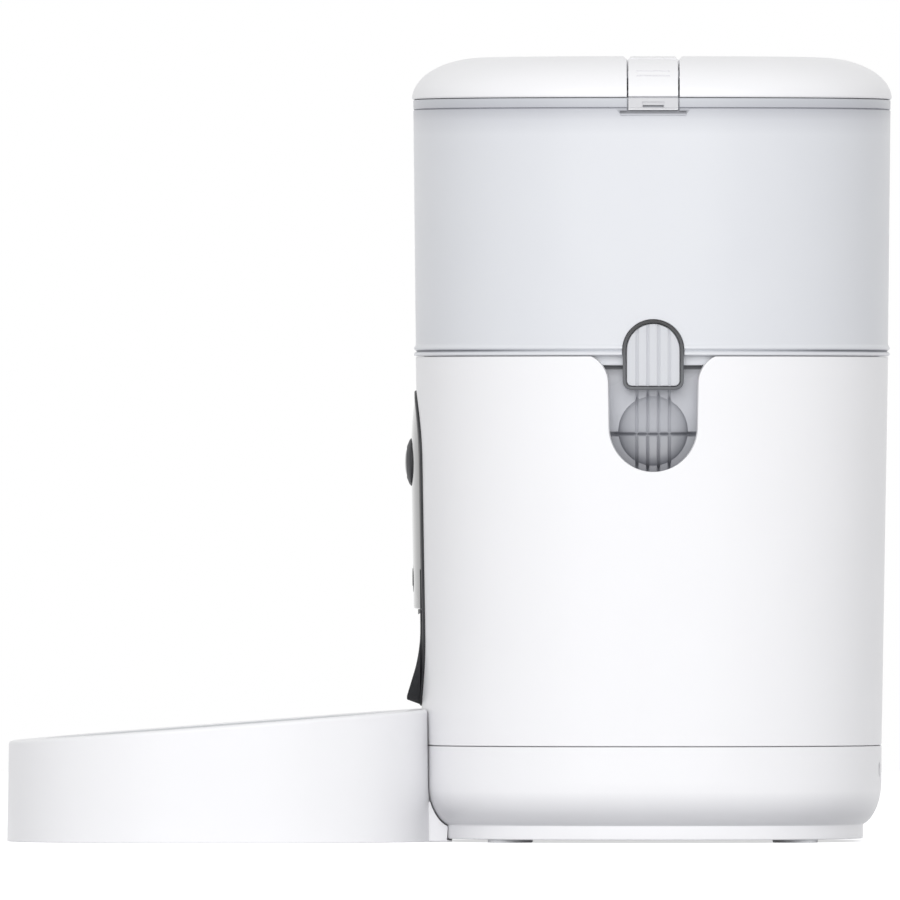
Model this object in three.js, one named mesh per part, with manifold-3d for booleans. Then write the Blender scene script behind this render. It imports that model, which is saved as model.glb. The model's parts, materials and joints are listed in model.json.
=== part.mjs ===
// Smart pet feeder. A lidded food hopper stands over a metering rotor, which lets dry food
// down a front chute into a bowl on a pull-out tray.
// Millimetres, +Z up. The front faces -Y, and the two latches are on the +X and -X sides.
// The origin is on the floor, under the middle of the whole feeder.
import * as THREE from "three";
import { mergeVertices } from "three/addons/utils/BufferGeometryUtils.js";
import Module from "manifold-3d";

const wasm = await Module();
wasm.setup();

// Fits and facets
const CLEAR = 0.3; // between pieces that rest on or beside each other
const RUN = 0.8; // between pieces that move past each other
const OVERRUN = 2; // how far a cut runs past the face that it opens
const FACETS = 36; // round a large shell
const DRUM_FACETS = 40; // round the rotor housing
const CAP_FACETS = 32; // round the desiccant holder
const DENT_FACETS = 24; // round the ball that shapes the finger dent
const ROUND_FACETS = 16; // round a small turned piece
const SLIM_FACETS = 12; // round a pin, a screw or a post
const ARC_STEPS = 4; // along a quarter of a curve
const PLAN_POWER = 2.5; // of the rounded-square plan: 2 is a circle, more is squarer

// Heights of the stack, from the floor up
const FOOT_SHOW = 1.2; // feet below the plinth
const BASE_HEIGHT = 36.8;
const HOUSING_HEIGHT = 153.7;
const FLANGE_HEIGHT = 3.9;
const HOPPER_HEIGHT = 98; // from the top of the flange to the lid
const LID_HEIGHT = 16.4;

// Half-sizes of the rounded-square plan
const BODY_HALF = 93.5; // top of the housing
const HOUSING_DRAFT = 2.6; // how much narrower the housing is at its seam
const HOPPER_FLARE = 1; // how much wider the hopper is at its mouth
const FLANGE_PROUD = 0.7;
const LID_PROUD = 0.5; // lid past the hopper's mouth
const SHELL_WALL = 2.6;

// Base
const CORNER_REACH = 10; // rounded lower corner of the base, inwards
const CORNER_DROP = 18;
const CORNER_TOP = 22.8; // above the underside
const PLINTH_SET_IN = 7.3;
const BASE_FLOOR = 4.6;
const FOOT_RADIUS = 8.9;
const FOOT_SPREAD_SHARE = 0.601; // share of BODY_HALF from the upright axis, each way
const FOOT_SEAT = 1; // how deep a foot sits in the plinth
const SCREW_OFFSET = 22; // to the front and to the back
const SCREW_HEAD_RADIUS = 3.2;
const SCREW_HEAD_HEIGHT = 2.2;
const SCREW_SHANK_RADIUS = 1.5;
const SCREW_LENGTH = 20; // under the head
const SCREW_SEAT_HEIGHT = 26; // head's underside above the base's underside
const PILLAR_WALL = 2.2;
const LUG_HEIGHT = 14;

// Battery bay
const CELL_COUNT = 3;
const CELL_RADIUS = 16.5;
const CELL_LENGTH = 57;
const CELL_TIP_RADIUS = 4.5;
const CELL_TIP_HEIGHT = 1.6;
const CELL_PITCH = 33.8;
const BAY_WALL = 2;
const CONTACT_THICK = 0.8;
const CONTACT_HEIGHT = 24;
const DOOR_THICK = 2;
const DOOR_LIP = 2.6; // ledge round the bay that the door covers
const DOOR_TRAVEL = 9;
const DOOR_GRIP_RADIUS = 6;
const DOOR_GRIP_DEPTH = 0.9;

// Inlet and reset button at the back of the base
const REAR_PART_HEIGHT = 28.5; // of their middles above the floor
const INLET_WIDTH = 13;
const INLET_HEIGHT = 7.4;
const INLET_DEPTH = 11;
const INLET_SLOT_WIDTH = 9;
const INLET_SLOT_HEIGHT = 3.2;
const INLET_SLOT_DEPTH = 6.5;
const INLET_SET_IN = 1.9;
const RESET_OFFSET = 22;
const RESET_RADIUS = 2.6;
const RESET_FLANGE_RADIUS = 4.2;
const RESET_FLANGE_THICK = 1.6;
const RESET_PROUD = 0.5;

// Side notches of the housing, and the finger pockets behind them
const NOTCH_HALF_TOP = 17.9;
const NOTCH_HALF_FOOT = 17.4;
const NOTCH_DEPTH_SHARE = 0.296; // share of the housing's height, from its top edge down
const NOTCH_FLARE = 8.5;
const POCKET_DEPTH = 8.6; // from the housing's inner face to the pocket's wall
const POCKET_WALL = 2;
const POCKET_MARGIN = 1.2; // pocket past the notch's sides
const POCKET_TOP_DROP = 5.2; // below the housing's top edge
const DENT_RADIUS = 13.7; // finger dent, where it meets the wall
const DENT_DEPTH = 5;
const DENT_DROP_SHARE = 0.191; // share of the housing's height down to its middle

// Hopper, funnel and release buttons
const HOPPER_WALL = 2.3;
const SHOULDER_HEIGHT = 8.3;
const COLLAR_DEPTH = 3.9; // collar under the flange, inside the housing's mouth
const FUNNEL_SET_IN = 13.5; // top of the funnel in from the top of the housing
const FUNNEL_FOOT_SET_IN = 1.5; // foot of the funnel in from the rotor housing's side
const FUNNEL_DEPTH_SHARE = 0.2973; // share of the housing's height down to the funnel's foot
const FUNNEL_LIP = 2; // upright part of the funnel under the shoulder
const ARCH_HALF = 12;
const ARCH_HEIGHT = 27.6;
const ARCH_DROP = 13.3; // of its lower edge below the housing's top edge
const ARCH_CORNER = 2.6;
const FRAME_WALL = 1.8;
const FRAME_DEPTH = 3.9;
const BUTTON_FLANGE = 0.9; // behind the frame, all round
const BUTTON_FLANGE_THICK = 2;
const BUTTON_FACE_SET_IN = 0.6;
const BUTTON_TRAVEL = 2.4;
const BUTTON_RIBS = 4;
const RIB_PITCH = 4.24;
const RIB_WIDTH = 1.2;
const RIB_PROUD = 0.5;
const WELL_WALL = 1.9;

// Lid
const LID_EDGE_REACH = 28; // how far in the lid's rounded edge reaches
const LID_WALL = 2.4;
const PLATE_THICK = 2;
const PLATE_SET_IN = 3.5;
const PLATE_LIFT = 0.9; // above the lid's lower edge
const SKIRT_SET_IN = 5.4;
const SKIRT_WALL = 2;
const SKIRT_DEPTH = 6.5;
const SKIRT_LIP = 1.7;
const SKIRT_LIP_THICK = 1.3;
const SEAL_THICK = 2;
const LATCH_WIDTH = 19.6;
const LATCH_GAP = 0.8;
const LATCH_REACH = 17; // inwards from the lid's side
const LATCH_TOP_GAP = 1.6;
const LATCH_WALL = 2.2;
const LATCH_TAB_WALL = 1.6;
const LATCH_TAB_DROP = 4.6; // below the lid's lower edge
const LATCH_PIN_IN = 8.5; // from the lid's side
const LATCH_PIN_DROP = 8.5; // from the lid's top
const LATCH_PIN_RADIUS = 1;
const LATCH_BOSS_RADIUS = 2.6;
const LATCH_BOSS_LENGTH = 15;
const EAR_THICK = 3;
const EAR_REACH = 4; // each way from the pin
const LEDGE_HALF = 13; // catch ledge on the hopper under the latch
const LEDGE_THICK = 0.8;
const LEDGE_PROUD = 0.5;

// Desiccant holder under the lid
const DRYER_RADIUS = 34;
const DRYER_HEIGHT = 18;
const DRYER_WALL = 2;
const CAP_THICK = 2.6;
const CAP_SPIGOT_HEIGHT = 3.2;
const CAP_VENTS = 8;
const CAP_VENT_WIDTH = 3.4;
const CAP_VENT_INNER = 15;
const CAP_VENT_OUTER = 26;
const CAP_GRIP_LENGTH = 22;
const CAP_GRIP_WIDTH = 3;
const CAP_GRIP_HEIGHT = 5;
const SACHET_RADIUS = 27;
const SACHET_HEIGHT = 10;

// Rotor and its housing
const ROTOR_HOUSING_RADIUS = 47.5;
const ROTOR_HOUSING_SHARE = 0.2212; // its height as a share of the housing's
const ROTOR_HOUSING_WALL = 2.5;
const ROTOR_HOUSING_FLOOR = 3;
const BAFFLE_THICK = 1.8;
const BAFFLE_DROP = 2.2; // below the housing's rim
const BAFFLE_HALF = 24;
const OUTLET_HALF = 17;
const OUTLET_NEAR = 20; // nearest and furthest edge from the rotor's axis
const OUTLET_FAR = 43;
const ROTOR_BLADES = 6;
const BLADE_THICK = 2.6;
const HUB_RADIUS = 11;
const HUB_RISE = 4; // above the blades
const SOCKET_DEPTH = 14;
const COUPLER_HALF = 5;
const STIRRER_REACH = 26;
const STIRRER_THICK = 3;
const STIRRER_FINGER_HEIGHT = 14;
const STIRRER_PEG_RADIUS = 4;
const STIRRER_PEG_LENGTH = 6;

// Deck and drive
const DECK_THICK = 3;
const DECK_FRONT_GAP = 11; // clear of the front panel's parts
const STANDOFF_SHARE = 0.0481; // of a post's length to the housing's height
const STANDOFF_RADIUS = 3.5;
const STANDOFF_SET_IN = 2; // of the posts from the gearbox's ends
const GEARBOX_SHARE = 0.1757; // of the gearbox's height to the housing's
const GEARBOX_WALL = 2;
const GEARBOX_FLOOR = 2.4;
const GEARBOX_COVER = 2.1;
const GEAR_PITCH_RADIUS = 15;
const GEAR_TEETH = 30;
const PINION_TEETH = 10;
const TOOTH_ROOT_SHARE = 0.29; // half a tooth's width as a share of the pitch, at its root
const TOOTH_TIP_SHARE = 0.13; // and at its tip
const TOOTH_RISE_SHARE = 0.9; // share of the module from the pitch circle to the tip
const TOOTH_FALL_SHARE = 1.2; // and to the root
const GEAR_THICK = 5;
const GEAR_GAP = 2; // between the two layers of gears
const SPINDLE_RADIUS = 3.6;
const AXLE_RADIUS = 2;
const PINION_SHAFT_RADIUS = 1.2;
const BUSH_WALL = 1.8;
const BUSH_FLANGE = 2;
const BUSH_FLANGE_THICK = 1.2;
const MOTOR_RADIUS = 12;
const MOTOR_SHARE = 0.1822; // of the motor's length to the housing's height
const MOTOR_BOSS_RADIUS = 4;
const MOTOR_BOSS_HEIGHT = 1.4;

// Front panel
const PANEL_HALF = 28;
const PANEL_LIFT = 15.5; // of its lower edge above the seam
const PANEL_DROP = 13.3; // of its top below the housing's top edge
const BEZEL_PROUD = 1.4;
const BEZEL_DEPTH = 5; // behind the housing's outer face
const BEZEL_RIM = 3;
const PLATE_PROUD = 2.5;
const PLATE_DEPTH = 2; // behind the housing's outer face
const PLATE_SHARE = 0.692; // of the face plate's height to the panel's
const CAMERA_DROP_SHARE = 0.227; // share of the panel's height down to the camera's middle
const CAMERA_RADIUS = 9.5;
const CAMERA_PROUD = 1.8; // ring past the face plate
const CAMERA_INNER_RADIUS = 5.6;
const CAMERA_WINDOW_PROUD = 2.5;
const CAMERA_BARREL_LENGTH = 17;
const CAMERA_BOARD_HALF = 12;
const BOARD_THICK = 1.6;
const FEED_DROP_SHARE = 0.592; // share of the panel's height down to the button's middle
const FEED_RADIUS = 6.5;
const FEED_PROUD = 0.3;
const FEED_LENGTH = 8;
const LIGHT_DROP_SHARE = 0.422;
const LIGHT_RADIUS = 1.6;
const LIGHT_LENGTH = 7;

// Chute
const CHUTE_TUCK = 3.3; // past the outlet's near edge
const CHUTE_HALF = 24.3;
const CHUTE_CORNER_SHARE = 0.69; // lower corners as a share of the channel's depth
const CHUTE_TOP_CORNER = 4;
const CHUTE_WALL = 2;
const CHUTE_LIP_REACH = 6.1; // past the base's front
const CHUTE_CHEEK_REACH = 0.7; // of the upper edge past the base's front
const CHUTE_LIP_LIFT = 2; // above the panel's lower edge

// Boards and speaker at the back
const BOARD_HALF = 33.7;
const BOARD_LOW = 12; // above the seam
const BOARD_SHARE = 0.345; // of the board's height to the housing's
const BOARD_SET_IN = 15; // from the housing's half-size
const RAIL_WIDTH = 3;
const RAIL_LIP = 2;
const RAIL_THICK = 2.4;
const SPEAKER_RADIUS = 13;
const SPEAKER_MAGNET_RADIUS = 8;
const SPEAKER_RIM = 3;
const SPEAKER_DEPTH = 8;
const SPEAKER_LIFT = 18; // of its middle above the seam
const GRILLE_SLOTS = 5;
const GRILLE_PITCH = 4.4;
const GRILLE_SLOT_WIDTH = 2;
const GRILLE_SLOT_HEIGHT = 16;

// Tray and bowl
const TRAY_HALF_WIDTH = 84; // along the floor
const TRAY_HALF_LENGTH = 85.15;
const TRAY_TUCK = 5.9; // how far its outline reaches in behind the base's front
const TRAY_TAPER = 0.7; // how much narrower it is at the top
const TRAY_FRONT_HEIGHT = 39.6;
const TRAY_BACK_HEIGHT = 52.7;
const TRAY_GAP = 0.6;
const TRAY_WALL = 2.6;
const TRAY_DECK = 2.6;
const TONGUE_HALF = 32;
const TONGUE_TUCK = 12;
const TONGUE_ROOT = 9;
const TONGUE_HEIGHT = 16;
const BOWL_MARGIN = 14; // from the tray's side to the bowl's rim
const BOWL_RIM_WIDTH = 4;
const BOWL_RIM_DROP = 0.3; // below the tray's top
const BOWL_DEPTH = 32;
const BOWL_SLANT = 8; // how much narrower the bowl is at its floor
const BOWL_CORNER = 12;
const STEEL_WALL = 1.2;

// Places that follow from the sizes
const quarter = Math.PI / 2;
const seam = FOOT_SHOW + BASE_HEIGHT;
const housingTop = seam + HOUSING_HEIGHT;
const flangeTop = housingTop + FLANGE_HEIGHT;
const lidSeam = flangeTop + HOPPER_HEIGHT;
const lidTop = lidSeam + LID_HEIGHT;
const baseHalf = BODY_HALF - HOUSING_DRAFT;
const plinthHalf = baseHalf - PLINTH_SET_IN;
const hopperHalf = BODY_HALF + HOPPER_FLARE;
const lidHalf = hopperHalf + LID_PROUD;
const trayY = -(baseHalf - TRAY_TUCK) - TRAY_HALF_LENGTH;
const frontReach = TRAY_HALF_LENGTH - trayY;
const funnelFoot = housingTop - FUNNEL_DEPTH_SHARE * HOUSING_HEIGHT;
const panelTop = housingTop - PANEL_DROP;
const panelFoot = seam + PANEL_LIFT;
const panelHeight = panelTop - panelFoot;
const axisY = (frontReach - lidHalf) / 2;
const housingHalfAt = (height) => BODY_HALF - (HOUSING_DRAFT * (housingTop - height)) / HOUSING_HEIGHT;

// Finishes
const finish = (color, roughness, metalness = 0) =>
  new THREE.MeshStandardMaterial({ color, roughness, metalness });
const whitePlastic = finish(0xf3f3f5, 0.42);
const milkyPlastic = finish(0xdcdde4, 0.3);
const smokePlastic = finish(0x9a9ca2, 0.35);
const blackPlastic = finish(0x1c1d1f, 0.55);
const glossyBlack = finish(0x101114, 0.08);
const greyRubber = finish(0xaeb0b4, 0.8);
const greySilicone = finish(0xb9bbc0, 0.6);
const brushedSteel = finish(0xc9cbce, 0.3, 1);
const brass = finish(0xb79a4e, 0.35, 1);
const greenBoard = finish(0x1f5a3a, 0.5);
const gearPlastic = finish(0xe6e2d3, 0.5);
const cellWrap = finish(0x3b4046, 0.4);
const whiteFabric = finish(0xf1efe8, 0.9);

// Solids from three.js geometry, and cuts and joins between them
function solidOf(shape) {
  if (!shape.isBufferGeometry) return shape;
  const bare = new THREE.BufferGeometry();
  bare.setAttribute("position", shape.getAttribute("position"));
  bare.setIndex(shape.index);
  const merged = mergeVertices(bare);
  const corners = merged.index.array;
  const kept = [];
  for (let i = 0; i < corners.length; i += 3) {
    const [a, b, c] = corners.slice(i, i + 3);
    if (a !== b && b !== c && c !== a) kept.push(a, b, c);
  }
  const vertProperties = merged.getAttribute("position").array;
  const triVerts = new Uint32Array(kept);
  return new wasm.Manifold(new wasm.Mesh({ numProp: 3, vertProperties, triVerts }));
}

const join = (first, ...rest) => rest.reduce((sum, next) => sum.add(solidOf(next)), solidOf(first));
const cut = (first, ...rest) => rest.reduce((sum, next) => sum.subtract(solidOf(next)), solidOf(first));
const shared = (first, second) => solidOf(first).intersect(solidOf(second));

function geometryOf(shape) {
  const { vertProperties, triVerts } = solidOf(shape).getMesh();
  const geometry = new THREE.BufferGeometry();
  geometry.setAttribute("position", new THREE.BufferAttribute(new Float32Array(vertProperties), 3));
  geometry.setIndex(new THREE.BufferAttribute(new Uint32Array(triVerts), 1));
  return geometry;
}

// The same shape on the +X and on the -X side
function bothSides(shape) {
  const right = geometryOf(shape);
  return [right, right.clone().rotateZ(Math.PI)];
}

// Profiles are points of distance from the axis and height, anticlockwise
const at = (across, up) => new THREE.Vector2(across, up);
const column = (radius, low, high) => [at(0, low), at(radius, low), at(radius, high), at(0, high)];
const pipe = (inner, outer, low, high) => [
  at(inner, low),
  at(outer, low),
  at(outer, high),
  at(inner, high),
  at(inner, low),
];

function arc(centre, reach, rise, from, to) {
  const points = [];
  for (let i = 0; i <= ARC_STEPS; i++) {
    const angle = from + ((to - from) * i) / ARC_STEPS;
    points.push(at(centre.x + reach * Math.cos(angle), centre.y + rise * Math.sin(angle)));
  }
  return points;
}

const turned = (profile, facets = ROUND_FACETS) =>
  new THREE.LatheGeometry(profile, facets).rotateX(quarter);

// A turned shape with its round plan pushed out to the feeder's rounded square
function squared(profile) {
  const geometry = turned(profile, FACETS);
  const place = geometry.getAttribute("position");
  for (let i = 0; i < place.count; i++) {
    const far = Math.hypot(place.getX(i), place.getY(i));
    if (far === 0) continue;
    const alongX = Math.abs(place.getX(i) / far) ** PLAN_POWER;
    const alongY = Math.abs(place.getY(i) / far) ** PLAN_POWER;
    const reach = (alongX + alongY) ** (-1 / PLAN_POWER);
    place.setXY(i, place.getX(i) * reach, place.getY(i) * reach);
  }
  return geometry;
}

function block(x, y, z) {
  const size = [x, y, z].map(([low, high]) => high - low);
  const middle = [x, y, z].map(([low, high]) => (low + high) / 2);
  return new THREE.BoxGeometry(...size).translate(...middle);
}

const centred = (half) => [-half, half];
const rod = (radius, low, high, facets) => turned(column(radius, low, high), facets);

// Outlines pushed along an axis: upwards, sideways along +X, or forwards along -Y
const SIDEWAYS = new THREE.Matrix4().makeBasis(
  new THREE.Vector3(0, 1, 0),
  new THREE.Vector3(0, 0, 1),
  new THREE.Vector3(1, 0, 0),
);
function upwards(shape, from, to) {
  const settings = { depth: to - from, bevelEnabled: false, curveSegments: ARC_STEPS };
  return new THREE.ExtrudeGeometry(shape, settings).translate(0, 0, from);
}
const sideways = (shape, from, to) => upwards(shape, from, to).applyMatrix4(SIDEWAYS);
const forwards = (shape, from, to) => upwards(shape, from, to).rotateX(quarter);
const facingFront = (profile, facets) => turned(profile, facets).rotateX(quarter);

const feeder = new THREE.Group();
const cabinet = new THREE.Group(); // its origin is on the upright axis of the housing
cabinet.position.y = axisY;
feeder.add(cabinet);

function addPiece(name, shape, material) {
  const geometry = geometryOf(shape).toNonIndexed();
  geometry.computeVertexNormals();
  const mesh = new THREE.Mesh(geometry, material);
  mesh.name = name;
  cabinet.add(mesh);
  return mesh;
}

// The +X piece, and the same piece half a turn round on the -X side
function addPair(name, shape, material) {
  addPiece(name + "_right", shape, material);
  addPiece(name + "_left", shape, material).rotation.z = Math.PI;
}

// Base: a tub with a rounded lower corner on a set-in plinth
const cornerTop = FOOT_SHOW + CORNER_TOP;
const baseFloorTop = FOOT_SHOW + BASE_FLOOR;
function baseOutline(outset, top) {
  const corner = at(baseHalf - CORNER_REACH, cornerTop);
  const start = Math.asin((CORNER_REACH - PLINTH_SET_IN) / CORNER_REACH) - quarter;
  return [
    at(0, FOOT_SHOW - outset),
    at(plinthHalf + outset, FOOT_SHOW - outset),
    ...arc(corner, CORNER_REACH + outset, CORNER_DROP + outset, start, 0),
    at(baseHalf + outset, top),
    at(0, top),
  ];
}

const doorTop = FOOT_SHOW + DOOR_THICK;
const bayHalfX = (CELL_COUNT * CELL_PITCH) / 2 + CLEAR;
const bayHalfY = CELL_LENGTH / 2 + CELL_TIP_HEIGHT + CONTACT_THICK + 3 * CLEAR;
const cellLow = doorTop + CLEAR;
const bayTop = cellLow + 2 * CELL_RADIUS + CLEAR;
const doorHalfX = bayHalfX + DOOR_LIP;
const doorHalfY = bayHalfY + DOOR_LIP;
const corners = (x, y) => [
  [x, y],
  [-x, y],
  [-x, -y],
  [x, -y],
];
const cornerNames = ["back_right", "back_left", "front_left", "front_right"];
const screwSpread = (bayHalfX + BAY_WALL + baseHalf - SHELL_WALL) / 2;
const screwPlaces = corners(screwSpread, SCREW_OFFSET);
const footSpread = FOOT_SPREAD_SHARE * BODY_HALF;
const footPlaces = corners(footSpread, footSpread);
const screwSeat = FOOT_SHOW + SCREW_SEAT_HEIGHT;
const screwBore = SCREW_HEAD_RADIUS + CLEAR;
const pillarTop = seam - CLEAR;
const seamLow = seam - CLEAR / 2;
const seamHigh = seam + CLEAR / 2;

function makeBase() {
  const outside = squared(baseOutline(0, seamLow));
  const inside = squared([
    at(0, baseFloorTop),
    at(plinthHalf - SHELL_WALL, baseFloorTop),
    at(baseHalf - SHELL_WALL, cornerTop),
    at(baseHalf - SHELL_WALL, seam + OVERRUN),
    at(0, seam + OVERRUN),
  ]);
  const bay = block(
    centred(bayHalfX + BAY_WALL),
    centred(bayHalfY + BAY_WALL),
    [FOOT_SHOW + DOOR_THICK, bayTop + BAY_WALL],
  );
  const bayInside = block(centred(bayHalfX), centred(bayHalfY), [0, bayTop]);
  const doorSeat = block(
    centred(doorHalfX + CLEAR),
    [-doorHalfY - CLEAR, doorHalfY + DOOR_TRAVEL + CLEAR],
    [0, doorTop + CLEAR],
  );
  const pillars = screwPlaces.map(([x, y]) =>
    rod(screwBore + PILLAR_WALL, FOOT_SHOW, pillarTop, SLIM_FACETS).translate(x, y, 0),
  );
  const bores = screwPlaces.flatMap(([x, y]) => [
    rod(screwBore, 0, screwSeat, SLIM_FACETS).translate(x, y, 0),
    rod(SCREW_SHANK_RADIUS + CLEAR, 0, seam + OVERRUN, SLIM_FACETS).translate(x, y, 0),
  ]);
  const footSeats = footPlaces.map(([x, y]) =>
    rod(FOOT_RADIUS + CLEAR, 0, FOOT_SHOW + FOOT_SEAT + CLEAR).translate(x, y, 0),
  );
  const rearReach = [baseHalf - SHELL_WALL - OVERRUN, baseHalf + OVERRUN];
  const inletHole = block(
    centred(INLET_WIDTH / 2 + CLEAR),
    rearReach,
    [REAR_PART_HEIGHT - INLET_HEIGHT / 2 - CLEAR, REAR_PART_HEIGHT + INLET_HEIGHT / 2 + CLEAR],
  );
  const resetHole = facingFront(
    column(RESET_RADIUS + CLEAR, -rearReach[1], -rearReach[0]),
  ).translate(RESET_OFFSET, 0, REAR_PART_HEIGHT);
  return cut(
    join(cut(outside, inside), bay, shared(join(...pillars), outside)),
    bayInside,
    doorSeat,
    ...bores,
    ...footSeats,
    inletHole,
    resetHole,
  );
}

addPiece("base_tub", makeBase(), whitePlastic);

footPlaces.forEach(([x, y], i) => {
  const foot = rod(FOOT_RADIUS, 0, FOOT_SHOW + FOOT_SEAT);
  addPiece("foot_" + cornerNames[i], foot, greyRubber).position.set(x, y, 0);
});

screwPlaces.forEach(([x, y], i) => {
  const headTop = screwSeat - CLEAR;
  const screw = turned(
    [
      at(0, headTop - SCREW_HEAD_HEIGHT),
      at(SCREW_HEAD_RADIUS, headTop - SCREW_HEAD_HEIGHT),
      at(SCREW_HEAD_RADIUS, headTop),
      at(SCREW_SHANK_RADIUS, headTop),
      at(SCREW_SHANK_RADIUS, headTop + SCREW_LENGTH),
      at(0, headTop + SCREW_LENGTH),
    ],
    SLIM_FACETS,
  );
  addPiece("screw_" + cornerNames[i], screw, brushedSteel).position.set(x, y, 0);
});

// Batteries, their contacts and the door under them
for (let i = 0; i < CELL_COUNT; i++) {
  const cell = facingFront([
    at(0, -CELL_LENGTH / 2),
    at(CELL_RADIUS, -CELL_LENGTH / 2),
    at(CELL_RADIUS, CELL_LENGTH / 2),
    at(CELL_TIP_RADIUS, CELL_LENGTH / 2),
    at(CELL_TIP_RADIUS, CELL_LENGTH / 2 + CELL_TIP_HEIGHT),
    at(0, CELL_LENGTH / 2 + CELL_TIP_HEIGHT),
  ]);
  const across = (i - (CELL_COUNT - 1) / 2) * CELL_PITCH;
  addPiece("battery_" + (i + 1), cell, cellWrap).position.set(across, 0, cellLow + CELL_RADIUS);
}

const contactMiddle = cellLow + CELL_RADIUS;
const contacts = block(
  centred(bayHalfX - CLEAR),
  [bayHalfY - CLEAR - CONTACT_THICK, bayHalfY - CLEAR],
  [contactMiddle - CONTACT_HEIGHT / 2, contactMiddle + CONTACT_HEIGHT / 2],
);
addPiece("battery_contacts_back", contacts, brushedSteel);
addPiece("battery_contacts_front", contacts, brushedSteel).rotation.z = Math.PI;

const doorPlate = block(centred(doorHalfX), centred(doorHalfY), [FOOT_SHOW, doorTop]);
const doorGrip = rod(DOOR_GRIP_RADIUS, 0, FOOT_SHOW + DOOR_GRIP_DEPTH).translate(
  0,
  doorHalfY - 2 * DOOR_GRIP_RADIUS,
  0,
);
addPiece("battery_door", cut(doorPlate, doorGrip), whitePlastic);

// Power inlet and reset button in the base's back wall
const inletFront = baseHalf - INLET_SET_IN;
const inletBody = block(
  centred(INLET_WIDTH / 2),
  [inletFront - INLET_DEPTH, inletFront],
  [REAR_PART_HEIGHT - INLET_HEIGHT / 2, REAR_PART_HEIGHT + INLET_HEIGHT / 2],
);
const inletSlot = block(
  centred(INLET_SLOT_WIDTH / 2),
  [inletFront - INLET_SLOT_DEPTH, inletFront + OVERRUN],
  [REAR_PART_HEIGHT - INLET_SLOT_HEIGHT / 2, REAR_PART_HEIGHT + INLET_SLOT_HEIGHT / 2],
);
addPiece("power_inlet", cut(inletBody, inletSlot), brushedSteel);

const planReach = (half, offset) =>
  half * (1 - Math.abs(offset / half) ** PLAN_POWER) ** (1 / PLAN_POWER);
const resetFront = planReach(baseHalf, RESET_OFFSET) + RESET_PROUD;
const resetBack = planReach(baseHalf - SHELL_WALL, RESET_OFFSET + RESET_FLANGE_RADIUS) - RUN;
const resetButton = facingFront([
  at(0, -resetFront),
  at(RESET_RADIUS, -resetFront),
  at(RESET_RADIUS, -resetBack),
  at(RESET_FLANGE_RADIUS, -resetBack),
  at(RESET_FLANGE_RADIUS, RESET_FLANGE_THICK - resetBack),
  at(0, RESET_FLANGE_THICK - resetBack),
]).translate(RESET_OFFSET, 0, REAR_PART_HEIGHT);
addPiece("reset_button", resetButton, blackPlastic);

// Front panel outlines, as seen from the front
function stadium(half, inset) {
  const shape = new THREE.Shape();
  shape.absarc(0, panelTop - PANEL_HALF, half - inset, 0, Math.PI);
  shape.absarc(0, panelFoot + PANEL_HALF, half - inset, Math.PI, 2 * Math.PI);
  return shape;
}

// The housing's outer surface, moved out or in, from the seam to the top
const skin = (outset) =>
  squared([
    at(0, seam),
    at(baseHalf + outset, seam),
    at(BODY_HALF + outset, housingTop),
    at(0, housingTop),
  ]);

// Housing with a notch in each side
const notchFoot = housingTop - NOTCH_DEPTH_SHARE * HOUSING_HEIGHT;
function notchOutline(outset) {
  const shape = new THREE.Shape();
  const flareTop = housingTop + OVERRUN;
  const half = NOTCH_HALF_TOP + outset;
  const foot = NOTCH_HALF_FOOT + outset;
  shape.moveTo(half + NOTCH_FLARE, flareTop);
  shape.lineTo(-half - NOTCH_FLARE, flareTop);
  shape.lineTo(-half - NOTCH_FLARE, housingTop);
  shape.absarc(-half - NOTCH_FLARE, housingTop - NOTCH_FLARE, NOTCH_FLARE, quarter, 0, true);
  shape.absarc(0, notchFoot + NOTCH_HALF_FOOT, foot, Math.PI, 2 * Math.PI);
  shape.absarc(half + NOTCH_FLARE, housingTop - NOTCH_FLARE, NOTCH_FLARE, Math.PI, quarter, true);
  return shape;
}

const speakerHeight = seam + SPEAKER_LIFT;
const boardLow = seam + BOARD_LOW;
const boardHigh = boardLow + BOARD_SHARE * HOUSING_HEIGHT;
const boardBack = baseHalf - BOARD_SET_IN;
const lugHigh = seamHigh + LUG_HEIGHT;

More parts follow.
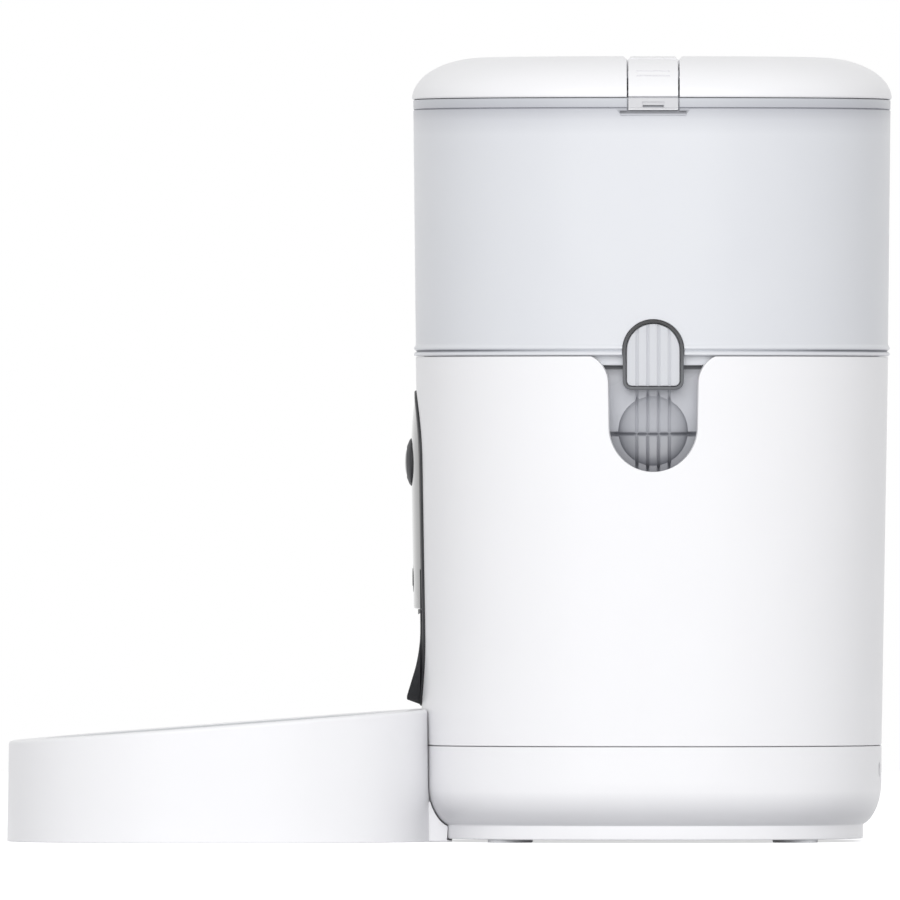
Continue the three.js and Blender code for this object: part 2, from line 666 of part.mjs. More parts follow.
function makeHousing() {
  const shell = squared([
    at(baseHalf - SHELL_WALL, seamHigh),
    at(baseHalf, seamHigh),
    at(BODY_HALF, housingTop),
    at(BODY_HALF - SHELL_WALL, housingTop),
    at(baseHalf - SHELL_WALL, seamHigh),
  ]);
  const notches = bothSides(sideways(notchOutline(0), BODY_HALF / 2, BODY_HALF + OVERRUN));
  const panelHole = forwards(stadium(PANEL_HALF, -CLEAR), BODY_HALF / 2, BODY_HALF + OVERRUN);
  const slots = [];
  for (let i = 0; i < GRILLE_SLOTS; i++) {
    const middle = (i - (GRILLE_SLOTS - 1) / 2) * GRILLE_PITCH;
    slots.push(
      block(
        [middle - GRILLE_SLOT_WIDTH / 2, middle + GRILLE_SLOT_WIDTH / 2],
        [BODY_HALF / 2, BODY_HALF + OVERRUN],
        [speakerHeight - GRILLE_SLOT_HEIGHT / 2, speakerHeight + GRILLE_SLOT_HEIGHT / 2],
      ),
    );
  }
  const railOuter = BOARD_HALF + CLEAR + RAIL_WIDTH;
  const railFront = boardBack - CLEAR - BOARD_THICK - RAIL_LIP - CLEAR;
  const rails = cut(
    block(centred(railOuter), [railFront, baseHalf], [boardLow, boardHigh]),
    block(
      centred(BOARD_HALF - RAIL_THICK),
      [railFront - OVERRUN, baseHalf + OVERRUN],
      [boardLow - OVERRUN, boardHigh + OVERRUN],
    ),
    block(
      centred(BOARD_HALF + CLEAR),
      [boardBack - BOARD_THICK - CLEAR, boardBack + CLEAR],
      [boardLow - OVERRUN, boardHigh + OVERRUN],
    ),
  );
  const lugHalf = screwBore + PILLAR_WALL;
  const lugs = [SCREW_OFFSET, -SCREW_OFFSET].flatMap((y) => {
    const lug = block(
      [screwSpread - lugHalf, BODY_HALF],
      [y - lugHalf, y + lugHalf],
      [seamHigh, lugHigh],
    );
    const bore = rod(SCREW_SHANK_RADIUS + CLEAR, seam, lugHigh + OVERRUN, SLIM_FACETS);
    return bothSides(cut(lug, bore.translate(screwSpread, y, 0)));
  });
  const fittings = shared(join(rails, ...lugs), skin(-SHELL_WALL / 2));
  return cut(join(shell, fittings), ...notches, panelHole, ...slots);
}

addPiece("housing_shell", makeHousing(), whitePlastic);

// Finger pockets behind the notches
function makePocket() {
  const outerFace = BODY_HALF - SHELL_WALL;
  const wallX = outerFace - POCKET_DEPTH;
  const top = housingTop - POCKET_TOP_DROP;
  const below = [0, top];
  const outline = notchOutline(POCKET_MARGIN + POCKET_WALL);
  const inner = notchOutline(POCKET_MARGIN);
  const reach = [wallX - POCKET_WALL, BODY_HALF];
  const span = centred(NOTCH_HALF_TOP + POCKET_MARGIN + POCKET_WALL);
  const body = shared(
    shared(sideways(outline, ...reach), block(reach, span, below)),
    skin(-SHELL_WALL - CLEAR),
  );
  const hollow = shared(
    sideways(inner, wallX, BODY_HALF + OVERRUN),
    block(
      [wallX, BODY_HALF + OVERRUN],
      centred(NOTCH_HALF_TOP + POCKET_MARGIN),
      [0, housingTop],
    ),
  );
  const ballRadius = (DENT_RADIUS ** 2 + DENT_DEPTH ** 2) / (2 * DENT_DEPTH);
  const ballX = wallX - DENT_DEPTH + ballRadius;
  const ballZ = housingTop - DENT_DROP_SHARE * HOUSING_HEIGHT;
  const ball = (radius) =>
    new THREE.SphereGeometry(radius, DENT_FACETS, DENT_FACETS / 2).translate(ballX, 0, ballZ);
  const behind = block([0, wallX], centred(BODY_HALF), [0, lidTop]);
  const bulge = shared(ball(ballRadius + POCKET_WALL), behind);
  return cut(join(body, bulge), hollow, ball(ballRadius));
}

addPair("finger_pocket", makePocket(), smokePlastic);

// Front panel: bezel, face plate, camera, light and feed button
const plateFoot = panelTop - PLATE_SHARE * panelHeight;
const cameraHeight = panelTop - CAMERA_DROP_SHARE * panelHeight;
const feedHeight = panelTop - FEED_DROP_SHARE * panelHeight;
const lightHeight = panelTop - LIGHT_DROP_SHARE * panelHeight;
const plateFrontAt = (height) => housingHalfAt(height) + PLATE_PROUD;

// The chute is one channel down the slope; grown by outset it cuts its own hole
const rotorHousingTop = funnelFoot - CLEAR;
const rotorHousingFoot = rotorHousingTop - ROTOR_HOUSING_SHARE * HOUSING_HEIGHT;
const deckTop = rotorHousingFoot - RUN;
const deckLow = deckTop - DECK_THICK;
const lipReach = baseHalf + CHUTE_LIP_REACH;
const lipY = -lipReach;
const lipZ = panelFoot + CHUTE_LIP_LIFT;
const chuteSlope = Math.atan2(deckLow - CLEAR - lipZ, lipReach - OUTLET_NEAR + CHUTE_TUCK);
const plateBack = housingHalfAt(plateFoot) - PLATE_DEPTH;
const mouthTop = plateFoot - RUN - (lipReach - plateBack) * Math.tan(chuteSlope);
const chuteDepth = (mouthTop - lipZ) * Math.cos(chuteSlope);
function channelOutline(outset) {
  const half = CHUTE_HALF + outset;
  const low = -outset;
  const high = chuteDepth + outset;
  const corner = CHUTE_CORNER_SHARE * chuteDepth + outset;
  const top = CHUTE_TOP_CORNER + outset;
  const shape = new THREE.Shape();
  shape.absarc(half - corner, low + corner, corner, -quarter, 0);
  shape.absarc(half - top, high - top, top, 0, quarter);
  shape.absarc(top - half, high - top, top, quarter, Math.PI);
  shape.absarc(corner - half, low + corner, corner, Math.PI, Math.PI + quarter);
  return shape;
}
const channel = (outset) =>
  forwards(channelOutline(outset), -frontReach, frontReach)
    .rotateX(chuteSlope)
    .translate(0, lipY, lipZ);

const hole = (radius, height) =>
  facingFront(column(radius + CLEAR, 0, frontReach)).translate(0, 0, height);
const panelHoles = () => [
  hole(CAMERA_RADIUS, cameraHeight),
  hole(FEED_RADIUS, feedHeight),
  hole(LIGHT_RADIUS, lightHeight),
];

function makeBezel() {
  const body = shared(
    forwards(stadium(PANEL_HALF, 0), BODY_HALF / 2, BODY_HALF + OVERRUN),
    cut(skin(BEZEL_PROUD), skin(-BEZEL_DEPTH)),
  );
  const seat = cut(
    shared(
      forwards(stadium(PANEL_HALF, BEZEL_RIM - CLEAR), BODY_HALF / 2, BODY_HALF + OVERRUN),
      block(centred(PANEL_HALF), [-frontReach, 0], [plateFoot - CLEAR, housingTop]),
    ),
    skin(-PLATE_DEPTH - CLEAR),
  );
  return cut(body, seat, ...panelHoles(), channel(CLEAR));
}

function makeFacePlate() {
  const body = shared(
    shared(
      forwards(stadium(PANEL_HALF, BEZEL_RIM), BODY_HALF / 2, BODY_HALF + 2 * OVERRUN),
      block(centred(PANEL_HALF), [-frontReach, 0], [plateFoot, housingTop]),
    ),
    cut(skin(PLATE_PROUD), skin(-PLATE_DEPTH)),
  );
  return cut(body, ...panelHoles());
}

addPiece("front_bezel", makeBezel(), blackPlastic);
addPiece("face_plate", makeFacePlate(), glossyBlack);

const cameraFace = plateFrontAt(cameraHeight);
const cameraBack = cameraFace - PLATE_PROUD - BEZEL_DEPTH;
const cameraRing = facingFront([
  at(CAMERA_INNER_RADIUS, cameraBack),
  at(CAMERA_RADIUS, cameraBack),
  at(CAMERA_RADIUS, cameraFace + CAMERA_PROUD / 2),
  at((CAMERA_RADIUS + CAMERA_INNER_RADIUS) / 2, cameraFace + CAMERA_PROUD),
  at(CAMERA_INNER_RADIUS, cameraFace + CAMERA_PROUD / 2),
  at(CAMERA_INNER_RADIUS, cameraBack),
]);
addPiece("camera_ring", cameraRing, blackPlastic).position.z = cameraHeight;

const windowRadius = CAMERA_INNER_RADIUS - CLEAR;
const windowBack = cameraFace - PLATE_PROUD;
const cameraWindow = facingFront([
  at(0, windowBack),
  at(windowRadius, windowBack),
  ...arc(at(0, cameraFace), windowRadius, CAMERA_WINDOW_PROUD, 0, quarter),
]);
addPiece("camera_window", cameraWindow, glossyBlack).position.z = cameraHeight;

const barrelFront = windowBack - CLEAR;
const barrelBack = barrelFront - CAMERA_BARREL_LENGTH;
const cameraBarrel = facingFront(column(windowRadius, barrelBack, barrelFront));
addPiece("camera_barrel", cameraBarrel, blackPlastic).position.z = cameraHeight;

const cameraBoard = block(
  centred(CAMERA_BOARD_HALF),
  [-barrelBack + CLEAR, -barrelBack + CLEAR + BOARD_THICK],
  centred(CAMERA_BOARD_HALF),
);
addPiece("camera_board", cameraBoard, greenBoard).position.z = cameraHeight;

const feedFace = plateFrontAt(feedHeight) + FEED_PROUD;
const feedButton = facingFront([
  at(0, feedFace - FEED_LENGTH),
  at(FEED_RADIUS - CLEAR, feedFace - FEED_LENGTH),
  at(FEED_RADIUS - CLEAR, feedFace),
  at(0, feedFace),
]);
addPiece("feed_button", feedButton, glossyBlack).position.z = feedHeight;

const lightFace = plateFrontAt(lightHeight);
const lightProfile = column(LIGHT_RADIUS - CLEAR, lightFace - LIGHT_LENGTH, lightFace);
const lightPipe = facingFront(lightProfile, SLIM_FACETS);
addPiece("status_light", lightPipe, milkyPlastic).position.z = lightHeight;

// Hopper: a tapered bin on a thin flange, and a funnel below it
const archFoot = housingTop - ARCH_DROP;
function archOutline(half, foot, top) {
  const shape = new THREE.Shape();
  shape.absarc(half - ARCH_CORNER, foot + ARCH_CORNER, ARCH_CORNER, -quarter, 0);
  shape.absarc(0, top - half, half, 0, Math.PI);
  shape.absarc(ARCH_CORNER - half, foot + ARCH_CORNER, ARCH_CORNER, Math.PI, Math.PI + quarter);
  return shape;
}
const arch = (outset, from, to) =>
  sideways(
    archOutline(ARCH_HALF + outset, archFoot - outset, archFoot + ARCH_HEIGHT + outset),
    from,
    to,
  );

const frameFront = BODY_HALF + FLANGE_PROUD;
const frameBack = frameFront - FRAME_DEPTH;
const buttonFlangeOutset = BUTTON_FLANGE - FRAME_WALL;
const buttonFlangeBack = frameBack - CLEAR - BUTTON_FLANGE_THICK;
const wellFloor = buttonFlangeBack - BUTTON_TRAVEL - CLEAR;
const flangeFoot = housingTop + CLEAR;
const rimTop = lidSeam - CLEAR;

const funnelTop = BODY_HALF - FUNNEL_SET_IN;
const funnelEnd = ROTOR_HOUSING_RADIUS - FUNNEL_FOOT_SET_IN;

function makeHopper() {
  const collarHalf = BODY_HALF - SHELL_WALL - RUN;
  const shell = squared([
    at(funnelTop - HOPPER_WALL, flangeFoot),
    at(collarHalf - HOPPER_WALL, flangeFoot),
    at(collarHalf - HOPPER_WALL, flangeFoot - COLLAR_DEPTH),
    at(collarHalf, flangeFoot - COLLAR_DEPTH),
    at(collarHalf, flangeFoot),
    at(BODY_HALF + FLANGE_PROUD, flangeFoot),
    at(BODY_HALF + FLANGE_PROUD, flangeTop),
    at(BODY_HALF, flangeTop),
    at(hopperHalf, rimTop),
    at(hopperHalf - HOPPER_WALL, rimTop),
    at(BODY_HALF - HOPPER_WALL, flangeFoot + SHOULDER_HEIGHT),
    at(funnelTop - HOPPER_WALL, flangeFoot + HOPPER_WALL),
    at(funnelTop - HOPPER_WALL, flangeFoot),
  ]);
  const wellBack = wellFloor - WELL_WALL;
  const well = join(
    shared(
      arch(WELL_WALL, wellBack, BODY_HALF - HOPPER_WALL / 2),
      block([0, BODY_HALF], centred(BODY_HALF), [flangeFoot, lidSeam]),
    ),
    arch(0, wellBack, frameBack - CLEAR),
  );
  const wells = bothSides(well);
  const hollows = bothSides(
    join(
      arch(buttonFlangeOutset + CLEAR, wellFloor, frameBack + OVERRUN),
      arch(CLEAR, frameBack - CLEAR, lidHalf + OVERRUN),
    ),
  );
  const latchSeats = bothSides(
    block(
      [lidHalf - LATCH_TAB_WALL - CLEAR, lidHalf + OVERRUN],
      centred(LATCH_WIDTH / 2 + LATCH_GAP),
      [lidSeam - LATCH_TAB_DROP - RUN, lidSeam + OVERRUN],
    ),
  );
  const ledgeTop = lidSeam - LATCH_TAB_DROP - RUN;
  const ledges = bothSides(
    block(
      [hopperHalf - HOPPER_WALL / 2, hopperHalf + LEDGE_PROUD],
      centred(LEDGE_HALF),
      [ledgeTop - LEDGE_THICK, ledgeTop],
    ),
  );
  return cut(join(shell, ...wells, ...ledges), ...hollows, ...latchSeats);
}

addPiece("hopper", makeHopper(), milkyPlastic);

const funnel = squared([
  at(funnelEnd, funnelFoot),
  at(funnelTop, flangeFoot - CLEAR - FUNNEL_LIP),
  at(funnelTop, flangeFoot - CLEAR),
  at(funnelTop - HOPPER_WALL, flangeFoot - CLEAR),
  at(funnelTop - HOPPER_WALL, flangeFoot - CLEAR - FUNNEL_LIP),
  at(funnelEnd - HOPPER_WALL, funnelFoot),
  at(funnelEnd, funnelFoot),
]);
addPiece("funnel", funnel, milkyPlastic);

const releaseFrame = cut(
  arch(0, frameBack, frameFront),
  arch(-FRAME_WALL, frameBack - OVERRUN, frameFront + OVERRUN),
);
addPair("release_frame", releaseFrame, blackPlastic);

function makeReleaseButton() {
  const face = frameFront - BUTTON_FACE_SET_IN;
  const ribs = [];
  for (let i = 0; i < BUTTON_RIBS; i++) {
    const middle = (i - (BUTTON_RIBS - 1) / 2) * RIB_PITCH;
    ribs.push(
      block(
        [face - RIB_PROUD, face + RIB_PROUD],
        [middle - RIB_WIDTH / 2, middle + RIB_WIDTH / 2],
        [archFoot, archFoot + ARCH_HEIGHT],
      ),
    );
  }
  const key = arch(-FRAME_WALL - CLEAR, buttonFlangeBack, face);
  const trimmed = shared(
    join(...ribs),
    arch(-FRAME_WALL - CLEAR - RIB_PROUD, buttonFlangeBack, frameFront + OVERRUN),
  );
  return join(
    key,
    arch(buttonFlangeOutset, buttonFlangeBack, buttonFlangeBack + BUTTON_FLANGE_THICK),
    trimmed,
  );
}

addPair("release_button", makeReleaseButton(), milkyPlastic);

// Lid: cover, inner plate with a skirt, seal and two latches
const lidForm = (inset, low) =>
  squared([
    at(0, low),
    at(lidHalf - inset, low),
    ...arc(
      at(lidHalf - LID_EDGE_REACH, lidSeam),
      LID_EDGE_REACH - inset,
      LID_HEIGHT - inset,
      0,
      quarter,
    ),
    at(0, lidTop - inset),
  ]);
const pinX = lidHalf - LATCH_PIN_IN;
const pinZ = lidTop - LATCH_PIN_DROP;
const slotHalf = LATCH_WIDTH / 2 + LATCH_GAP;
const pinHole = LATCH_PIN_RADIUS + CLEAR;
const alongPin = (radius, half) =>
  facingFront(column(radius, -half, half)).translate(pinX, 0, pinZ);

function makeLidCover() {
  const shell = cut(lidForm(0, lidSeam), lidForm(LID_WALL, lidSeam - OVERRUN));
  const slots = bothSides(
    block(
      [lidHalf - LATCH_REACH - LATCH_TOP_GAP, lidHalf + OVERRUN],
      centred(slotHalf),
      [lidSeam - OVERRUN, lidTop + OVERRUN],
    ),
  );
  const ears = shared(
    block(
      [pinX - EAR_REACH, pinX + EAR_REACH],
      centred(slotHalf + EAR_THICK),
      [pinZ - EAR_REACH, lidTop],
    ),
    lidForm(LID_WALL / 2, lidSeam),
  );
  return cut(
    join(shell, ...bothSides(ears)),
    ...slots,
    ...bothSides(alongPin(pinHole, slotHalf + EAR_THICK - CLEAR)),
  );
}

function makeLatch() {
  const shell = cut(lidForm(0, lidSeam), lidForm(LATCH_WALL, lidSeam - OVERRUN));
  const span = centred(LATCH_WIDTH / 2);
  const skirt = shared(
    shell,
    block([lidHalf - LATCH_REACH, lidHalf + OVERRUN], span, [lidSeam, lidTop]),
  );
  const tab = shared(
    squared(pipe(lidHalf - LATCH_TAB_WALL, lidHalf, lidSeam - LATCH_TAB_DROP, lidSeam + LATCH_WALL)),
    block([0, lidHalf], span, [0, lidTop]),
  );
  const boss = alongPin(LATCH_BOSS_RADIUS, LATCH_BOSS_LENGTH / 2);
  return cut(join(skirt, tab, boss), alongPin(pinHole, lidHalf));
}

addPiece("lid_cover", makeLidCover(), whitePlastic);
addPair("lid_latch", makeLatch(), whitePlastic);
addPair("latch_pin", alongPin(LATCH_PIN_RADIUS, slotHalf + EAR_THICK - 2 * CLEAR), brushedSteel);

const plateLow = lidSeam + PLATE_LIFT;
const plateHalf = lidHalf - PLATE_SET_IN;
const skirtHalf = lidHalf - SKIRT_SET_IN;
const skirtFoot = plateLow - SKIRT_DEPTH;
const innerPlate = squared([
  at(0, plateLow),
  at(skirtHalf - SKIRT_WALL, plateLow),
  at(skirtHalf - SKIRT_WALL, skirtFoot),
  at(skirtHalf + SKIRT_LIP, skirtFoot),
  at(skirtHalf + SKIRT_LIP, skirtFoot + SKIRT_LIP_THICK),
  at(skirtHalf, skirtFoot + SKIRT_LIP_THICK),
  at(skirtHalf, plateLow),
  at(plateHalf, plateLow),
  at(plateHalf, plateLow + PLATE_THICK),
  at(0, plateLow + PLATE_THICK),
]);
addPiece("lid_inner_plate", innerPlate, whitePlastic);

const lidSeal = squared(
  pipe(
    skirtHalf + CLEAR,
    skirtHalf + CLEAR + SEAL_THICK,
    skirtFoot + SKIRT_LIP_THICK + CLEAR,
    plateLow - CLEAR,
  ),
);
addPiece("lid_seal", lidSeal, greySilicone);

// Desiccant holder: box, turning cap with vents, and sachet
const dryerTop = plateLow - CLEAR;
const dryerLow = dryerTop - DRYER_HEIGHT;
const dryerBox = turned(
  [
    at(DRYER_RADIUS - DRYER_WALL, dryerLow),
    at(DRYER_RADIUS, dryerLow),
    at(DRYER_RADIUS, dryerTop),
    at(0, dryerTop),
    at(0, dryerTop - DRYER_WALL),
    at(DRYER_RADIUS - DRYER_WALL, dryerTop - DRYER_WALL),
    at(DRYER_RADIUS - DRYER_WALL, dryerLow),
  ],
  CAP_FACETS,
);
addPiece("desiccant_box", dryerBox, whitePlastic);

function makeDryerCap() {
  const top = dryerLow - CLEAR;
  const spigot = DRYER_RADIUS - DRYER_WALL - CLEAR;
  const disc = turned(
    [
      at(0, top - CAP_THICK),
      at(DRYER_RADIUS, top - CAP_THICK),
      at(DRYER_RADIUS, top),
      at(spigot, top),
      at(spigot, top + CAP_SPIGOT_HEIGHT),
      at(spigot - DRYER_WALL, top + CAP_SPIGOT_HEIGHT),
      at(spigot - DRYER_WALL, top),
      at(0, top),
    ],
    CAP_FACETS,
  );
  const grip = block(
    centred(CAP_GRIP_LENGTH / 2),
    centred(CAP_GRIP_WIDTH / 2),
    [top - CAP_THICK - CAP_GRIP_HEIGHT, top - CAP_THICK / 2],
  );
  const vents = [];
  for (let i = 0; i < CAP_VENTS; i++) {
    vents.push(
      block(
        [CAP_VENT_INNER, CAP_VENT_OUTER],
        centred(CAP_VENT_WIDTH / 2),
        [top - CAP_THICK - OVERRUN, top + OVERRUN],
      ).rotateZ((2 * Math.PI * (i + 1 / 2)) / CAP_VENTS),
    );
  }
  return cut(join(disc, grip), ...vents);
}

addPiece("desiccant_cap", makeDryerCap(), whitePlastic);

const sachetLow = dryerLow + CLEAR;
const sachetEdge = at(SACHET_RADIUS - SACHET_HEIGHT, sachetLow + SACHET_HEIGHT / 2);
const sachet = turned([
  at(0, sachetLow),
  ...arc(sachetEdge, SACHET_HEIGHT, SACHET_HEIGHT / 2, -quarter, quarter),
  at(0, sachetLow + SACHET_HEIGHT),
]);
addPiece("desiccant_sachet", sachet, whiteFabric);

// Rotor housing under the funnel, with an outlet at the front and a baffle over it
const rotorFloor = rotorHousingFoot + ROTOR_HOUSING_FLOOR;
const chamberRadius = ROTOR_HOUSING_RADIUS - ROTOR_HOUSING_WALL;
const outlet = (outset, low, high) =>
  block(centred(OUTLET_HALF + outset), [-OUTLET_FAR - outset, -OUTLET_NEAR + outset], [low, high]);
const baffleTop = rotorHousingTop - BAFFLE_DROP;
const baffleLow = baffleTop - BAFFLE_THICK;
const couplerHole = COUPLER_HALF * Math.SQRT2 + RUN;

function makeRotorHousing() {
  const drum = turned(column(ROTOR_HOUSING_RADIUS, rotorHousingFoot, rotorHousingTop), DRUM_FACETS);
  const chamber = turned(column(chamberRadius, rotorFloor, rotorHousingTop + OVERRUN), DRUM_FACETS);
  const baffle = shared(
    turned(column(chamberRadius + ROTOR_HOUSING_WALL / 2, baffleLow, baffleTop), DRUM_FACETS),
    block(
      centred(BAFFLE_HALF),
      [-ROTOR_HOUSING_RADIUS, -HUB_RADIUS - 2 * RUN],
      [baffleLow, baffleTop],
    ),
  );
  return cut(
    join(cut(drum, chamber), baffle),
    outlet(0, rotorHousingFoot - OVERRUN, rotorFloor + OVERRUN),
    rod(couplerHole, rotorHousingFoot - OVERRUN, rotorFloor + OVERRUN),
  );
}

addPiece("rotor_housing", makeRotorHousing(), milkyPlastic);

// Rotor with its blades, and the stirrer on top of it
const bladeLow = rotorFloor + RUN;
const bladeTop = baffleLow - RUN;
const bladeReach = chamberRadius - RUN;
const hubTop = bladeTop + HUB_RISE;
const socketTop = bladeLow + SOCKET_DEPTH;

function makeRotor() {
  const blades = [];
  for (let i = 0; i < ROTOR_BLADES; i++) {
    blades.push(
      block([HUB_RADIUS / 2, bladeReach], centred(BLADE_THICK / 2), [bladeLow, bladeTop]).rotateZ(
        (2 * Math.PI * i) / ROTOR_BLADES,
      ),
    );
  }
  const socket = block(
    centred(COUPLER_HALF + CLEAR),
    centred(COUPLER_HALF + CLEAR),
    [bladeLow - OVERRUN, socketTop],
  );
  const pegFoot = hubTop - STIRRER_PEG_LENGTH;
  const pegHole = rod(STIRRER_PEG_RADIUS + CLEAR, pegFoot - CLEAR, hubTop + OVERRUN);
  return cut(join(rod(HUB_RADIUS, bladeLow, hubTop), ...blades), socket, pegHole);
}

addPiece("rotor", makeRotor(), greySilicone);

function makeStirrer() {
  const low = hubTop + CLEAR;
  const arm = block(
    [-STIRRER_PEG_RADIUS, STIRRER_REACH],
    centred(STIRRER_THICK / 2),
    [low, low + STIRRER_THICK],
  );
  const finger = block(
    [STIRRER_REACH - STIRRER_THICK, STIRRER_REACH],
    centred(STIRRER_THICK / 2),
    [low, low + STIRRER_FINGER_HEIGHT],
  );
  const peg = rod(STIRRER_PEG_RADIUS, hubTop - STIRRER_PEG_LENGTH, low + STIRRER_THICK);
  const disc = rod(HUB_RADIUS - RUN, low, low + STIRRER_THICK);
  return join(arm, finger, peg, disc);
}

addPiece("stirrer", makeStirrer(), whitePlastic);

// Deck between the food side and the drive, with posts for the gearbox
const deckHalf = housingHalfAt(deckLow) - SHELL_WALL - CLEAR;
const gearCoverTop = deckLow - STANDOFF_SHARE * HOUSING_HEIGHT;
const gearCoverLow = gearCoverTop - GEARBOX_COVER;
const gearCaseLow = gearCoverTop - GEARBOX_SHARE * HOUSING_HEIGHT;
const gearFloorTop = gearCaseLow + GEARBOX_FLOOR;
const gearModule = (2 * GEAR_PITCH_RADIUS) / GEAR_TEETH;
const gearSpacing = (gearModule * (GEAR_TEETH + PINION_TEETH)) / 2;
const middleY = gearSpacing;
const pinionY = 2 * gearSpacing;
const gearTipRadius = GEAR_PITCH_RADIUS + gearModule;
const gearRoom = gearTipRadius + RUN;
const gearboxHalfX = gearRoom + GEARBOX_WALL;
const gearboxFront = -gearRoom - GEARBOX_WALL;
const gearboxBack = pinionY + gearRoom / 2 + GEARBOX_WALL;
const bushOuter = SPINDLE_RADIUS + CLEAR + BUSH_WALL;
const standoffSide = gearboxHalfX - STANDOFF_RADIUS;
const standoffFront = gearboxFront + STANDOFF_RADIUS + STANDOFF_SET_IN;
const standoffBack = gearboxBack - STANDOFF_RADIUS - STANDOFF_SET_IN;
const standoffPlaces = [
  [standoffSide, standoffFront],
  [-standoffSide, standoffFront],
  [standoffSide, standoffBack],
  [-standoffSide, standoffBack],
];

function makeDeck() {
  const plate = squared(column(deckHalf, deckLow, deckTop));
  const posts = standoffPlaces.map(([x, y]) =>
    rod(STANDOFF_RADIUS, gearCoverTop + CLEAR, deckTop, SLIM_FACETS).translate(x, y, 0),
  );
  const panelRoom = block(
    centred(PANEL_HALF + RUN),
    [-frontReach, DECK_FRONT_GAP - baseHalf],
    [deckLow - OVERRUN, deckTop + OVERRUN],
  );
  return cut(
    join(plate, ...posts),
    panelRoom,
    outlet(0, deckLow - OVERRUN, deckTop + OVERRUN),
    rod(couplerHole, deckLow - OVERRUN, deckTop + OVERRUN),
  );
}

addPiece("drive_deck", makeDeck(), blackPlastic);

function makeGearCase() {
  const outside = block(
    centred(gearboxHalfX),
    [gearboxFront, gearboxBack],
    [gearCaseLow, gearCoverLow - CLEAR],
  );
  const inside = block(
    centred(gearRoom),
    [-gearRoom, gearboxBack - GEARBOX_WALL],
    [gearFloorTop, gearCoverLow],
  );
  const shaftHole = rod(
    PINION_SHAFT_RADIUS + CLEAR,
    gearCaseLow - OVERRUN,
    gearFloorTop + OVERRUN,
    SLIM_FACETS,
  );
  return cut(outside, inside, shaftHole.translate(0, pinionY, 0));
}

addPiece("gearbox_case", makeGearCase(), blackPlastic);

const gearCover = cut(
  block(centred(gearboxHalfX), [gearboxFront, gearboxBack], [gearCoverLow, gearCoverTop]),
  rod(bushOuter + CLEAR, gearCoverLow - OVERRUN, gearCoverTop + OVERRUN),
);
addPiece("gearbox_cover", gearCover, blackPlastic);

const bush = turned([
  at(SPINDLE_RADIUS + CLEAR, gearCoverLow),
  at(bushOuter, gearCoverLow),
  at(bushOuter, gearCoverTop + CLEAR),
  at(bushOuter + BUSH_FLANGE, gearCoverTop + CLEAR),
  at(bushOuter + BUSH_FLANGE, gearCoverTop + CLEAR + BUSH_FLANGE_THICK),
  at(SPINDLE_RADIUS + CLEAR, gearCoverTop + CLEAR + BUSH_FLANGE_THICK),
  at(SPINDLE_RADIUS + CLEAR, gearCoverLow),
]);
addPiece("spindle_bush", bush, brass);

// Gear train
function gear(teeth, low, high, turn) {
  const shape = new THREE.Shape();
  const pitch = (2 * Math.PI) / teeth;
  const root = gearModule * (teeth / 2 - TOOTH_FALL_SHARE);
  const tip = gearModule * (teeth / 2 + TOOTH_RISE_SHARE);
  for (let i = 0; i < teeth; i++) {
    const tooth = [
      [root, -TOOTH_ROOT_SHARE],
      [tip, -TOOTH_TIP_SHARE],
      [tip, TOOTH_TIP_SHARE],
      [root, TOOTH_ROOT_SHARE],
    ];
    for (const [radius, share] of tooth) {
      const angle = (i + turn + share) * pitch;
      const point = [radius * Math.cos(angle), radius * Math.sin(angle)];
      if (shape.curves.length || shape.currentPoint.lengthSq()) shape.lineTo(...point);
      else shape.moveTo(...point);
    }
  }
  return upwards(shape, low, high);
}

const lowerGearLow = gearFloorTop + GEAR_GAP;
const lowerGearTop = lowerGearLow + GEAR_THICK;
const upperGearLow = lowerGearTop + GEAR_GAP;
const upperGearTop = upperGearLow + GEAR_THICK;

const spindle = join(
  gear(GEAR_TEETH, upperGearLow, upperGearTop, 0),
  rod(SPINDLE_RADIUS, gearFloorTop + CLEAR, bladeLow + COUPLER_HALF),
  block(centred(COUPLER_HALF), centred(COUPLER_HALF), [deckLow, socketTop - CLEAR]),
);
addPiece("drive_spindle", spindle, gearPlastic);

const middleGear = join(
  gear(GEAR_TEETH, lowerGearLow, lowerGearTop, 0),
  gear(PINION_TEETH, lowerGearLow, upperGearTop, 1 / 2),
  rod(AXLE_RADIUS, gearFloorTop + CLEAR, gearCoverLow - CLEAR, SLIM_FACETS),
);
addPiece("middle_gear", middleGear, gearPlastic).position.y = middleY;

const motorTop = gearCaseLow - CLEAR;
const pinionShaftLow = motorTop - MOTOR_BOSS_HEIGHT + CLEAR;
const pinion = join(
  gear(PINION_TEETH, lowerGearLow, lowerGearTop, 1 / 2),
  rod(PINION_SHAFT_RADIUS, pinionShaftLow, lowerGearTop + GEAR_GAP / 2, SLIM_FACETS),
);
addPiece("motor_pinion", pinion, brass).position.y = pinionY;

const motorShoulder = motorTop - MOTOR_BOSS_HEIGHT;
const motorFoot = motorShoulder - MOTOR_SHARE * HOUSING_HEIGHT;
const motor = turned([
  at(0, motorFoot),
  at(MOTOR_RADIUS, motorFoot),
  at(MOTOR_RADIUS, motorShoulder),
  at(MOTOR_BOSS_RADIUS, motorShoulder),
  at(MOTOR_BOSS_RADIUS, motorTop),
  at(PINION_SHAFT_RADIUS + CLEAR, motorTop),
  at(PINION_SHAFT_RADIUS + CLEAR, motorShoulder),
  at(0, motorShoulder),
]);
addPiece("motor", motor, brushedSteel).position.y = pinionY;

